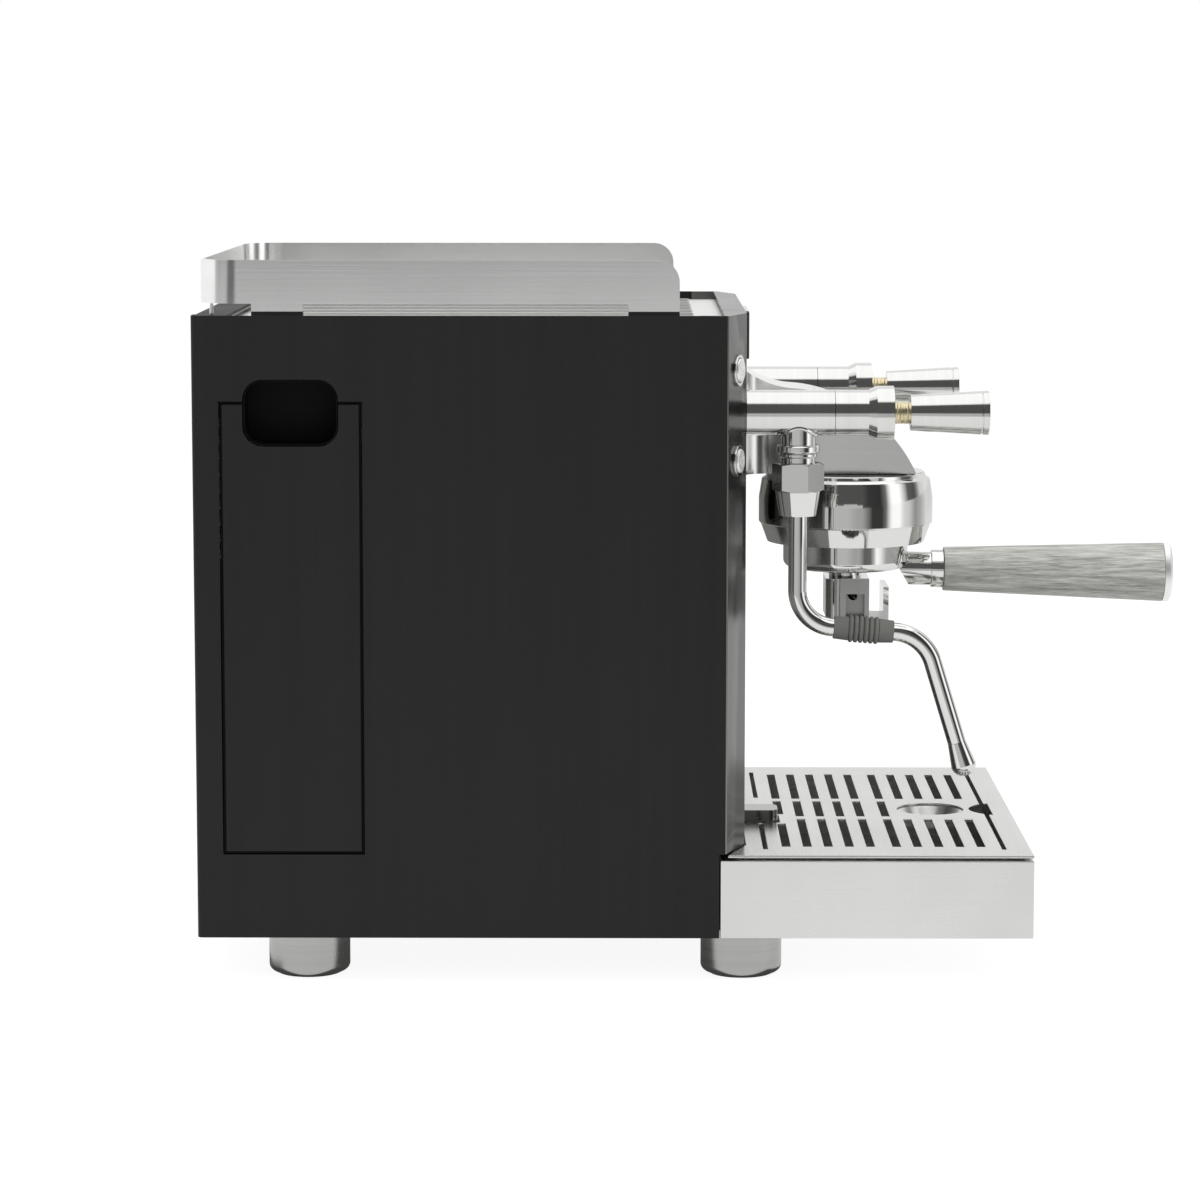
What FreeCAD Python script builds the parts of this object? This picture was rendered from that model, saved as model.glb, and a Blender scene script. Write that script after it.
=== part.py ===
"""Espresso machine with a bell-shaped group, two taps, a pull-out tank and a pull-out drip tray.

Each piece is drawn with the rear face at Y = 0 and the lower edge of the side panels at Z = 0.
X points to the operator's right and the front faces -Y. Saving moves the origin to the middle
of the footprint, at the level of the worktop. All sizes are in millimetres.
"""
import FreeCAD, Part
import os
from math import atan2, cos, radians, sin, sqrt, tan

Vec = FreeCAD.Vector
X_AXIS, Y_AXIS, Z_AXIS = Vec(1, 0, 0), Vec(0, 1, 0), Vec(0, 0, 1)

# Sheet metal and fits
SHEET = 1.5              # body panels, tray and shelf
GAP = 0.3                # air beside a moving piece
RUN = 0.05               # radial running fit of a shaft
SNUG = 0.02              # radial room of a fixed piece in its socket
SLIP = 0.2               # radial room of a fixed piece in its hole

# Body
BODY_WIDTH = 280.0
BODY_DEPTH = 276.7       # side panels, rear to front edge
BODY_HEIGHT = 326.0
REAR_FOLD = 14.0         # side panels fold round the rear by this much
FOLD_RADIUS = 3.0
FRONT_LAP = 0.8          # the front panel covers the edge of the side panels
WING_WIDTH = 30.0        # slanted strip at each side of the front panel
WING_RAKE = 10.1         # how far a wing runs back
RETURN_DEPTH = 14.0      # front panel's fold along the side panels
REAR_FLANGE = 18.4       # top fold of the rear panel
FRONT_FLANGE = 12.0      # top fold of the front panel
FLOOR_FLANGE = 18.0      # upturned sides of the base plate

# Feet
FOOT_HEIGHT = 24.0
FOOT_RADIUS = 21.5
FOOT_EDGE = 4.0
FOOT_INSET = 30.0        # foot axis from the side
FOOT_REAR = 56.5         # from the rear face
FOOT_AHEAD = 9.3         # front feet ahead of the side panels
STUD_RADIUS = 4.0
PAD_RADIUS = 16.8
PAD_PROUD = 0.8
PAD_RECESS = 3.2

# Top
SHELF_DROP = 4.5         # cup shelf below the panel edges
SHELF_LAP = 6.0          # shelf runs on under the flanges
RIB_COUNT = 8
RIB_PITCH = 32.0
RIB_WIDTH = 3.0
RIB_HEIGHT = 1.5
RIB_REAR = 24.0
RIB_SETBACK = 16.0       # rib ends behind the front edge
RAIL_INSET = 5.4         # rail from the side of the body
RAIL_BAND = 1.5
RAIL_RISE = 28.4         # rail above the panel edges
RAIL_HEIGHT = 22.5
RAIL_REAR = 3.1
RAIL_SETBACK = 24.5
RAIL_CORNER = 21.5
RAIL_NOSE = 11.5         # rounded upper front corner
TAB_LENGTH = 26.5
TAB_DROP = 4.0
TAB_REAR = 31.0
RAIL_PAD_WIDTH = 7.0
POST_RADIUS = 1.0

# Front plate and buttons
PLATE_WIDTH = 64.0
PLATE_HEIGHT = 26.0
PLATE_DEPTH = 3.8
PLATE_DROP = 29.0        # lower edge below the panel edges
BREW_DROP = 76.0         # buttons below the panel edges
POWER_DROP = 29.0
BEZEL_RADIUS = 8.25
BEZEL_HEIGHT = 1.5
CAP_RADIUS = 6.2
CAP_PROUD = 2.5
CAP_LENGTH = 10.5
BUTTON_TRAVEL = 2.0
BARREL_RADIUS = 7.2
BARREL_LENGTH = 18.0

# Tank, door and their bed
DOOR_REAR = 14.0         # edges of the opening in the side panel
DOOR_WIDTH = 74.2
DOOR_BASE = 44.3
DOOR_DROP = 44.3         # opening below the panel edges
DOOR_GROOVE = 1.6
GRIP_WIDTH = 49.5        # finger cut-out
GRIP_HEIGHT = 34.6
GRIP_DROP = 67.6         # lower edge of the cut-out below the panel edges
GRIP_CORNER = 10.5
GRIP_CUP = 20.0          # depth of the finger recess
GRIP_CUP_GAP = 5.0       # open edge round its back
TANK_WALL = 2.0
TANK_CLEAR = 71.5        # body width beyond the tank
TANK_SHORT = 33.4        # tank lower than the opening
TANK_MARGIN = 5.0        # tank inside the opening at each side
TANK_LIFT = 3.2          # tank floor above the sill of the opening
OUTLET_RADIUS = 6.0
OUTLET_BORE = 3.5
OUTLET_LENGTH = 12.0
OUTLET_RISE = 10.5
SOCKET_LENGTH = 22.0
SOCKET_WIDTH = 18.0
SOCKET_RISE = 22.0
BED_INSET = 2.0

# Drip tray and its cover
TRAY_LAP = 2.4           # tray reaches behind the front edge
TRAY_LENGTH = 164.2
TRAY_TOP = 44.2
COVER_SHEET = 1.5
SHADOW_GAP = 1.5
TRAY_SILL = 0.6          # front panel above the cover
TRAY_RIM = 8.0           # inward rim of the tray
SHELF_SHEET = 2.0        # shelf of the base plate under the tray
SHELF_INSET = 10.0
LIP_INSET = 4.0
SLOT_WIDTH = 4.4
SLOT_PITCH = 11.2
SLOT_COLUMNS = 5         # in each half of the cover
SLOT_AHEAD = 33.0        # first column, ahead of the side panels
SLOT_HALF_PITCH = 58.6   # from the rear half to the front half
SIDE_SLOT_START = 32.0
SIDE_SLOT_INSET = 25.5
MIDDLE_SLOT_LENGTH = 48.0
SLIT_WIDTH = 2.3
REAR_SLIT_AHEAD = 21.7
FRONT_SLIT_INSET = 13.9
SLIT_INSET = 18.0
REAR_SLIT_START = 35.0
DRAIN_HOLE_RADIUS = 18.5
DRAIN_HOLE_INSET = 44.0
DISH_DEPTH = 6.0
DISH_SHEET = 1.0
DISH_RIM = 3.0
DISH_OUTLET = 4.0
NOTCH_RADIUS = 19.0      # half-round finger notch at the front slit
NOTCH_LENGTH = 8.5
DRAIN_X = -32.0
DRAIN_WIDTH = 20.0
DRAIN_LENGTH = 20.4
DRAIN_HEIGHT = 6.2
DRAIN_CORNER = 5.0
DRAIN_ROOM = 1.0         # cover round the drain block
DRAIN_TAIL = 2.4
TAIL_REACH = 6.0

# Brew group
GROUP_AHEAD = 69.3       # group axis ahead of the side panels
BELL_DROP = 92.2         # top of the bell below the panel edges
BELL_HEIGHT = 38.8
BELL_TOP_RADIUS = 42.5
SHOULDER_DROP = 4.8      # below the top of the bell
BELL_SHOULDER_RADIUS = 46.5
SHOULDER_FULLNESS = 0.58  # how far the arc fills its corner
BELL_RADIUS = 48.0
BELLY_DROP = 14.3
BELLY_BAND = 11.0        # upright band round the belly
CREASE_DROP = 28.5
BELL_CREASE_RADIUS = 47.6
BELL_STEP = 0.5
BELL_BASE_RADIUS = 43.4
BELL_ROOF = 9.3
BAYONET_LIP = 5.8
LUG_ROOM = 0.7
GASKET_CLEAR = 0.3       # gasket above the rim of the basket
CHAMBER_HEIGHT = 3.0     # water room above the gasket
GASKET_RADIUS = 36.8
GASKET_BORE = 28.7
SCREEN_SHEET = 1.0
SCREEN_DROP = 3.3        # screen below the gasket
HOOD_HALF = 25.0
HOOD_LIFT = 0.3          # hood above the bell
HOOD_NOSE = 37.1         # hood ahead of the group axis
HOOD_HEIGHT = 58.2       # at the front panel
HOOD_WAIST_RISE = 46.8   # where the cove meets the crown
HOOD_WAIST_AHEAD = 37.7
HOOD_COVE = 15.0
HOOD_WALL = 1.5
NECK_HALF = 19.0
NECK_HEIGHT = 19.2
NECK_FRONT = 20.0        # neck runs past the group axis
NECK_FLANGE = 34.0
NECK_FLANGE_SHEET = 6.0

# Portafilter
PF_RADIUS = 34.5
PF_WALL = 3.5
PF_INSERT = 17.5         # body inside the bell
PF_FLOOR = 4.5
PF_EDGE = 5.0
PF_DRAIN = 6.0
LUG_REACH = 41.0
LUG_HEIGHT = 6.2
LUG_ANGLE = 26.0
UNLOCK_ANGLE = 45.0
BASKET_WALL = 0.7
BASKET_GAP = 0.8
BASKET_RIM = 0.5
BASKET_DEPTH = 25.0
BASKET_CLEAR = 3.0       # basket above the floor of the body
SPRING_WIRE = 0.55       # wire radius
SPRING_DROP = 6.5        # spring below the top of the body
SPRING_ARC = 310.0
SPOUT_NECK_RADIUS = 9.0
SPOUT_NECK = 4.8         # trough below the body
SPOUT_HEIGHT = 24.2
SPOUT_HALF = 17.0        # half length of the trough across the machine
SPOUT_BEHIND = 11.4      # trough behind the group axis
SPOUT_REAR_WALL = 8.6
SPOUT_HEEL = 4.0         # rounded lower rear edge
SPOUT_SETBACK = 2.0      # block behind the ends of the trough
SPOUT_BLOCK_AHEAD = 12.6
SPOUT_RECESS = 6.0
SPOUT_AHEAD = 23.2
SPOUT_LIP_HEIGHT = 19.9
SPOUT_LIP_WALL = 3.0
SPOUT_FLOOR = 2.4
SPOUT_DUCT = 5.0
DUCT_FLOOR = 2.0         # floor of the middle duct above the recesses
DUCT_RISE = 4.0          # upper end of a side duct above the recesses
DUCT_FALL = 3.0          # lower end of a side duct below them
HANDLE_DROP = 0.6        # axis below the floor of the body, at the neck
HANDLE_AHEAD = 34.0      # start of the neck ahead of the group axis
HANDLE_DROOP = 0.8       # degrees
HANDLE_NECK_RADIUS = 9.25
FERRULE_RADIUS = 10.5
NECK_LENGTH = 13.2
FERRULE_LENGTH = 7.0
GRIP_LENGTH = 121.2
GRIP_NEAR_RADIUS = 12.1
GRIP_FAR_RADIUS = 16.2
END_CAP_LENGTH = 4.2
BOLT_RADIUS = 4.0
BOLT_GRIP = 12.0

# Taps
TAP_INSET = 43.5         # tap axis from the side
TAP_DROP = 53.1          # tap axis below the panel edges
TAP_RADIUS = 12.0
TAP_BARREL = 46.8        # valve body ahead of the front panel
TAP_BONNET = 17.6
TAP_CONE_LENGTH = 4.4
TAP_COLLAR_RADIUS = 14.2
TAP_COLLAR_LENGTH = 9.2
TAP_TAIL_RADIUS = 8.0
TAP_TAIL = 25.6
VALVE_BORE = 6.5
VALVE_BORE_DEPTH = 30.0
PLUNGER_LENGTH = 8.0
STEM_RADIUS = 5.5
STEM_SHOWN = 8.6         # spindle between bonnet and knob
KNOB_LENGTH = 41.3
KNOB_BACK_RADIUS = 9.4
KNOB_FRONT_RADIUS = 11.85
KNOB_SOCKET = 24.0
KNOB_GROOVE_INSET = 4.0
KNOB_GROOVE_WIDTH = 0.8
KNOB_EDGE = 0.8
BOSS_RADIUS = 9.0
BOSS_COLLAR_RADIUS = 11.2
BOSS_COLLAR_DROP = 20.9  # below the tap axis
BOSS_COLLAR_HEIGHT = 4.0

# Steam wand and hot-water spout
OUTLET_AHEAD = 27.8      # outlet axis ahead of the front panel
NUT_ACROSS_FLATS = 24.0
NUT_DROP = 26.4          # below the tap axis
NUT_HEIGHT = 15.0
NUT_THREAD = 3.5
SKIRT_RADIUS = 11.85
SKIRT_END_RADIUS = 9.6
SKIRT_LENGTH = 13.0
BALL_RADIUS = 8.0
BALL_RISE = 2.5          # above the lower end of the hexagon
TUBE_RADIUS = 4.9
TUBE_BORE = 3.4
WAND_UPPER = 73.7        # elbow below the ball
WAND_RUN = 67.5          # knee ahead of the outlet axis
WAND_FALL = 4.9          # knee below the elbow
WAND_LEAN = 17.8         # end ahead of the knee
WAND_LOWER = 57.9        # end below the knee
WAND_ELBOW_BEND = 20.0
WAND_KNEE_BEND = 23.0
SLEEVE_CLEAR = 0.75      # sleeve from the bends at its ends
SLEEVE_RADIUS = 6.3
SLEEVE_RIB_RADIUS = 7.3
SLEEVE_RIBS = 6
SLEEVE_RIB_PITCH = 2.7
TIP_LENGTH = 18.6
TIP_FLARE = 13.0
TIP_RADIUS = 6.7
TIP_HOLE = 1.0
SPOUT_NUT_HEIGHT = 12.0
SPOUT_TUBE_RADIUS = 5.0
SPOUT_TUBE_DROP = 32.5   # below the top of its nut
SPOUT_NOSE_RADIUS = 6.5
SPOUT_NOSE_HEIGHT = 10.0
SPOUT_BORE = 3.5

# Boiler, pump and the other inner pieces
BOILER_RADIUS = 50.0
BOILER_WALL = 2.0
BOILER_CLEAR = 30.5      # boiler end from the side panel
BOILER_DOME = 12.0
BOILER_DEPTH = 165.0     # axis, from the rear face
BOILER_DROP = 121.0      # axis below the panel edges
FLANGE_RADIUS = 56.0
FLANGE_SHEET = 8.0
ELEMENT_RADIUS = 4.0
ELEMENT_SPREAD = 20.0
ELEMENT_LENGTH = 150.0
TERMINAL_LENGTH = 10.0
BRACKET_X = 60.0
BRACKET_SHEET = 3.0
BRACKET_WIDTH = 70.0
BRACKET_REACH = 35.0     # saddle below the boiler axis
SAFETY_X = -40.0
SAFETY_RADIUS = 7.0
SAFETY_HEIGHT = 30.0
PUMP_CLEAR = 108.5       # pump from the right side panel
PUMP_BEHIND = 38.7       # pump behind the front edge
PUMP_LEVEL = 45.0
PUMP_LENGTH = 60.0
PUMP_SIDE = 48.0
PUMP_NOZZLE = 4.5
PUMP_NOZZLE_LENGTH = 12.0
MOUNT_WIDTH = 10.0
MOUNT_SPREAD = 34.0
SOLENOID_SIDE = 30.0
SOLENOID_COIL = 16.0
SOLENOID_COIL_HEIGHT = 40.0
BOX_WIDTH = 35.0
BOX_DEPTH = 95.0
BOX_HEIGHT = 100.0
BOX_CLEAR = 9.0          # box from the right side panel
BOX_CENTRE_DEPTH = 168.0
PIPE_RADIUS = 3.0
PIPE_BORE = 2.0
PIPE_BEND = 8.0
PIPE_RISE = 65.0
INLET_CLEAR = 33.5       # inlet axis from the right side panel
INLET_LEVEL = 62.0
INLET_WIDTH = 27.0
INLET_HEIGHT = 20.0
INLET_DEPTH = 24.0
INLET_RIM = 3.0
INLET_SOCKET = 16.0
INLET_WALL = 1.8
INLET_CHAMFER = 4.0
PIN_WIDTH = 2.0
PIN_HEIGHT = 4.0
PIN_PITCH = 7.0
VENT_COUNT = 9
VENT_PITCH = 9.0
VENT_LENGTH = 70.0
VENT_HEIGHT = 4.0
VENT_DROP = 136.0        # lowest vent below the panel edges
VENT_X = 55.0
SCREW_INSET = 7.0
SCREW_FIRST = 30.0
SCREW_DROP = 32.0        # top screw below the panel edges
SCREW_ROWS = 4
SCREW_HEAD = 3.0
SCREW_SHANK = 1.5
SCREW_LENGTH = 9.0

# Places that follow from the sizes above
HALF = BODY_WIDTH / 2
INNER = HALF - SHEET
WING_END = -(BODY_DEPTH + FRONT_LAP)
FACE = WING_END - WING_RAKE
WING_START = HALF - WING_WIDTH
WING_SLOPE = WING_RAKE / WING_WIDTH
WING_TURN = atan2(WING_RAKE, WING_WIDTH)
SHELF_TOP = BODY_HEIGHT - SHELF_DROP
COVER_BASE = TRAY_TOP - COVER_SHEET
TRAY_EDGE = COVER_BASE - SHADOW_GAP
PANEL_FOOT = TRAY_TOP + TRAY_SILL

# Levels that follow the body's height
RAIL_TOP = BODY_HEIGHT + RAIL_RISE
PLATE_BASE = BODY_HEIGHT - PLATE_DROP
BREW_LEVEL = BODY_HEIGHT - BREW_DROP
POWER_LEVEL = BODY_HEIGHT - POWER_DROP
DOOR_HEIGHT = BODY_HEIGHT - DOOR_DROP - DOOR_BASE
GRIP_BASE = BODY_HEIGHT - GRIP_DROP
TANK_HEIGHT = DOOR_HEIGHT - TANK_SHORT
BOILER_LEVEL = BODY_HEIGHT - BOILER_DROP
VENT_BASE = BODY_HEIGHT - VENT_DROP
SCREW_PITCH = (BODY_HEIGHT - SCREW_DROP - SCREW_FIRST) / (SCREW_ROWS - 1)
BELL_TOP = BODY_HEIGHT - BELL_DROP
BELL_SHOULDER = BELL_TOP - SHOULDER_DROP
BELL_BELLY = BELL_TOP - BELLY_DROP
BELL_CREASE = BELL_TOP - CREASE_DROP
BELL_BASE = BELL_TOP - BELL_HEIGHT
HOOD_BASE = BELL_TOP + HOOD_LIFT
HOOD_TOP = HOOD_BASE + HOOD_HEIGHT
HOOD_WAIST = HOOD_BASE + HOOD_WAIST_RISE
PF_TOP = BELL_BASE + PF_INSERT
BASKET_BASE = PF_TOP - BASKET_DEPTH
PF_BASE = BASKET_BASE - BASKET_CLEAR - PF_FLOOR
SPRING_LEVEL = PF_TOP - SPRING_DROP
GASKET_BASE = PF_TOP + BASKET_RIM + GASKET_CLEAR
GASKET_HEIGHT = BELL_TOP - BELL_ROOF - CHAMBER_HEIGHT - GASKET_BASE
SCREEN_BASE = GASKET_BASE - SCREEN_DROP
SPOUT_TOP = PF_BASE - SPOUT_NECK
SPOUT_BASE = SPOUT_TOP - SPOUT_HEIGHT
SPOUT_LIP = SPOUT_BASE + SPOUT_LIP_HEIGHT
HANDLE_LEVEL = PF_BASE - HANDLE_DROP
TAP_LEVEL = BODY_HEIGHT - TAP_DROP
BOSS_COLLAR_BASE = TAP_LEVEL - BOSS_COLLAR_DROP
NUT_TOP = TAP_LEVEL - NUT_DROP
NUT_BASE = NUT_TOP - NUT_HEIGHT
SKIRT_END = NUT_BASE - SKIRT_LENGTH
BALL_LEVEL = NUT_BASE + BALL_RISE
SPOUT_TUBE_END = NUT_TOP - SPOUT_TUBE_DROP
WAND_ELBOW_LEVEL = BALL_LEVEL - WAND_UPPER
WAND_KNEE_LEVEL = WAND_ELBOW_LEVEL - WAND_FALL
WAND_END_LEVEL = WAND_KNEE_LEVEL - WAND_LOWER

# Distances across the machine that follow its width
FOOT_X = HALF - FOOT_INSET
RAIL_WIDTH = BODY_WIDTH - 2 * RAIL_INSET
SLIT_END = HALF - SLIT_INSET
SIDE_SLOT_END = HALF - SIDE_SLOT_INSET
TAP_X = HALF - TAP_INSET
TANK_LENGTH = BODY_WIDTH - TANK_CLEAR
BOILER_HALF = INNER - BOILER_CLEAR
PUMP_X = INNER - PUMP_CLEAR
BOX_X = INNER - BOX_CLEAR - BOX_WIDTH / 2
INLET_X = INNER - INLET_CLEAR

# Depths from the rear face that follow the body's depth
FOOT_FRONT = BODY_DEPTH + FOOT_AHEAD
RIB_FRONT = BODY_DEPTH - RIB_SETBACK
RAIL_FRONT = BODY_DEPTH - RAIL_SETBACK
PUMP_DEPTH = BODY_DEPTH - PUMP_BEHIND
TRAY_BACK = BODY_DEPTH - TRAY_LAP
TRAY_FRONT = TRAY_BACK + TRAY_LENGTH
BULKHEAD = -(TRAY_BACK - 3 * GAP)
SLOT_FIRST = BODY_DEPTH + SLOT_AHEAD
SLOT_SECOND = SLOT_FIRST + SLOT_HALF_PITCH
REAR_SLIT = BODY_DEPTH + REAR_SLIT_AHEAD
FRONT_SLIT = TRAY_FRONT - FRONT_SLIT_INSET
DRAIN_HOLE_DEPTH = TRAY_FRONT - DRAIN_HOLE_INSET
GROUP_DEPTH = BODY_DEPTH + GROUP_AHEAD
HOOD_WAIST_DEPTH = BODY_DEPTH + HOOD_WAIST_AHEAD
HOOD_FRONT = GROUP_DEPTH + HOOD_NOSE
SPOUT_REAR = GROUP_DEPTH - SPOUT_BEHIND
SPOUT_BLOCK_FRONT = GROUP_DEPTH + SPOUT_BLOCK_AHEAD
SPOUT_FRONT = GROUP_DEPTH + SPOUT_AHEAD
HANDLE_START = GROUP_DEPTH + HANDLE_AHEAD
FERRULE_START = HANDLE_START + NECK_LENGTH
GRIP_START = FERRULE_START + FERRULE_LENGTH
GRIP_END = GRIP_START + GRIP_LENGTH
HANDLE_END = GRIP_END + END_CAP_LENGTH
TAP_SEAM = TAP_BARREL - FACE
TAP_CONE = TAP_SEAM + TAP_BONNET
TAP_COLLAR = TAP_CONE + TAP_CONE_LENGTH
TAP_END = TAP_COLLAR + TAP_COLLAR_LENGTH
KNOB_BACK = TAP_END + STEM_SHOWN
KNOB_FRONT = KNOB_BACK + KNOB_LENGTH
KNOB_GROOVE = KNOB_FRONT - KNOB_GROOVE_INSET
WAND_DEPTH = OUTLET_AHEAD - FACE
WAND_KNEE_DEPTH = WAND_DEPTH + WAND_RUN
WAND_END_DEPTH = WAND_KNEE_DEPTH + WAND_LEAN
GROUP = Vec(0, -GROUP_DEPTH, 0)
PLACE = Vec(0, HANDLE_END / 2, FOOT_HEIGHT)


def box(x, y, z):
    """Box between two limits on each axis, given in any order."""
    corner = Vec(min(x), min(y), min(z))
    return Part.makeBox(max(x) - min(x), max(y) - min(y), max(z) - min(z), corner)


def rod(radius, start, end):
    """Round bar between two points."""
    run = end - start
    return Part.makeCylinder(radius, run.Length, start, run)


def taper(start_radius, end_radius, start, end):
    """Cone between two points."""
    run = end - start
    return Part.makeCone(start_radius, end_radius, run.Length, start, run)


def outline(start, *steps):
    """Face whose edge runs straight to a point, or by an arc for a (through, end) pair."""
    edges = []
    here = start
    for step in steps:
        if isinstance(step, tuple):
            edges.append(Part.Arc(here, *step).toShape())
            here = step[1]
        else:
            edges.append(Part.LineSegment(here, step).toShape())
            here = step
    if not here.isEqual(start, 1e-6):
        edges.append(Part.LineSegment(here, start).toShape())
    return Part.Face(Part.Wire(edges))


def plan(points, base, top):
    """Upright prism over a plan of (x, y) points."""
    return outline(*[Vec(x, y, base) for x, y in points]).extrude(Z_AXIS * (top - base))


def turned(profile, centre, axis=Z_AXIS):
    """Turned solid: the profile is (radius, height) pairs, or (through, end) pairs for arcs."""
    side = X_AXIS if abs(axis.dot(X_AXIS)) < 0.5 else Z_AXIS

    def place(pair):
        return centre + side * pair[0] + axis * pair[1]

    steps = []
    for item in profile:
        if isinstance(item[0], tuple):
            steps.append((place(item[0]), place(item[1])))
        else:
            steps.append(place(item))
    return outline(*steps).revolve(centre, axis, 360)


def edges_along(shape, axis):
    """Straight edges of a shape that run along an axis."""
    straight = [edge for edge in shape.Edges if isinstance(edge.Curve, Part.Line)]
    return [edge for edge in straight if abs(edge.tangentAt(edge.FirstParameter).dot(axis)) > 0.999]


def rounded_box(x, y, z, axis, radius):
    """Box whose edges along one axis are rounded."""
    block = box(x, y, z)
    return block.makeFillet(radius, edges_along(block, axis))


def rounded_rims(shape, radius, centre):
    """Shape with the round edges about a centre point rounded."""
    rims = [edge for edge in shape.Edges
            if isinstance(edge.Curve, Part.Circle) and (edge.Curve.Center - centre).Length < 0.01]
    return shape.makeFillet(radius, rims)


def hexagon(across_flats, centre, height):
    """Six-sided upright prism with corners towards the front and the rear."""
    reach = across_flats / sqrt(3)
    corners = [(centre.x + reach * sin(radians(60 * n)), centre.y + reach * cos(radians(60 * n)))
               for n in range(6)]
    return plan(corners, centre.z, centre.z + height)


def bend_reach(before, corner, after, bend):
    """Length that a bend takes from each of the runs beside its corner."""
    return bend / tan((before - corner).getAngle(after - corner) / 2)


def bent_path(points, bends):
    """Wire of straight runs joined by tangent arcs of the given radii."""
    edges = []
    here = points[0]
    for before, corner, after, bend in zip(points, points[1:], points[2:], bends):
        back = (before - corner).normalize()
        ahead = (after - corner).normalize()
        half = back.getAngle(ahead) / 2
        reach = bend_reach(before, corner, after, bend)
        middle = (back + ahead).normalize()
        through = corner + middle * (bend / sin(half) - bend)
        edges.append(Part.LineSegment(here, corner + back * reach).toShape())
        here = corner + ahead * reach
        edges.append(Part.Arc(corner + back * reach, through, here).toShape())
    edges.append(Part.LineSegment(here, points[-1]).toShape())
    return Part.Wire(edges)


def pipe(points, bends, radius, bore):
    """Hollow bent tube."""
    path = bent_path(points, bends)
    run = points[1] - points[0]
    walls = []
    for size in (radius, bore):
        ring = Part.Wire(Part.makeCircle(size, points[0], run))
        walls.append(path.makePipeShell([ring], True, True))
    return walls[0].cut(walls[1])


def joined(first, *others):
    """One solid from touching or overlapping shapes."""
    return first.fuse(list(others)).removeSplitter()


def both_sides(shape):
    """A shape and its mirror image on the other side of the machine."""
    return [shape, shape.mirror(Vec(0, 0, 0), X_AXIS)]


def foot_places():
    """Plan centres of the four feet."""
    return [Vec(x, -depth, 0) for x in (-FOOT_X, FOOT_X) for depth in (FOOT_REAR, FOOT_FRONT)]


# Body and casing

def base_plate():
    """Floor with upturned sides, the bulkhead behind the tray and the shelf under it."""
    rear = -2 * SHEET
    floor = box((-INNER, INNER), (rear, BULKHEAD), (0, SHELF_SHEET))
    bulkhead = box((-INNER, INNER), (BULKHEAD, BULKHEAD + SHEET), (0, PANEL_FOOT - TRAY_SILL))
    shelf_half = INNER - SHELF_INSET
    shelf = box((-shelf_half, shelf_half), (BULKHEAD, -(TRAY_FRONT - SHELF_INSET)), (0, SHELF_SHEET))
    sides = both_sides(box((INNER - SHEET, INNER), (rear, BULKHEAD), (0, FLOOR_FLANGE)))
    holes = [rod(STUD_RADIUS + SLIP, place, place + Z_AXIS * SHELF_SHEET) for place in foot_places()]
    return joined(floor, bulkhead, shelf, *sides).cut(holes)


def finger_cut():
    """Rounded block that cuts the finger hole through the side panel and the door."""
    middle = -(DOOR_REAR + DOOR_WIDTH / 2)
    return rounded_box((-HALF - SHEET, -INNER + SHEET),
                       (middle - GRIP_WIDTH / 2, middle + GRIP_WIDTH / 2),
                       (GRIP_BASE, GRIP_BASE + GRIP_HEIGHT), X_AXIS, GRIP_CORNER)


def screw_places():
    """Points on the rear face where the screws go in."""
    return [Vec(side * (HALF - SCREW_INSET), 0, SCREW_FIRST + row * SCREW_PITCH)
            for side in (-1, 1) for row in range(SCREW_ROWS)]


def screw(room):
    """Countersunk screw at the origin, with room round it when it cuts its hole."""
    head = taper(SCREW_HEAD + room, SCREW_SHANK + room, Vec(0, 0, 0), Vec(0, -SHEET, 0))
    return joined(head, rod(SCREW_SHANK + room, Vec(0, 0, 0), Vec(0, -SCREW_LENGTH, 0)))


def screw_holes():
    """The cuts that the screws need."""
    return [screw(SNUG).translated(place) for place in screw_places()]


def plain_side_panel():
    """Side panel of the operator's right: a sheet folded round the rear, notched for the tray."""
    bend = FOLD_RADIUS
    inside = bend - SHEET
    arc = sin(radians(45))
    centre_x = HALF - bend
    sheet = outline(
        Vec(HALF, -BODY_DEPTH, 0), Vec(HALF, -bend, 0),
        (Vec(centre_x + bend * arc, -bend + bend * arc, 0), Vec(centre_x, 0, 0)),
        Vec(HALF - REAR_FOLD, 0, 0), Vec(HALF - REAR_FOLD, -SHEET, 0), Vec(centre_x, -SHEET, 0),
        (Vec(centre_x + inside * arc, -bend + inside * arc, 0), Vec(INNER, -bend, 0)),
        Vec(INNER, -BODY_DEPTH, 0)).extrude(Z_AXIS * BODY_HEIGHT)
    notch = box((INNER - SHEET, HALF + SHEET), (-BODY_DEPTH - SHEET, -(TRAY_BACK - 2 * GAP)),
                (-SHEET, TRAY_TOP + GAP))
    return sheet.cut([notch] + screw_holes())


def left_side_panel():
    """Side panel with the opening for the tank door and the finger hole."""
    opening = box((-HALF - SHEET, -INNER + SHEET), (-DOOR_REAR, -(DOOR_REAR + DOOR_WIDTH)),
                  (DOOR_BASE, DOOR_BASE + DOOR_HEIGHT))
    panel = both_sides(plain_side_panel())[1]
    return panel.cut([opening, finger_cut()])


def inlet_block(rim):
    """Outer block of the mains inlet, widened by a rim."""
    half_width = INLET_WIDTH / 2 + rim
    half_height = INLET_HEIGHT / 2 + rim
    return (INLET_X - half_width, INLET_X + half_width), (INLET_LEVEL - half_height,
                                                          INLET_LEVEL + half_height)


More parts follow.
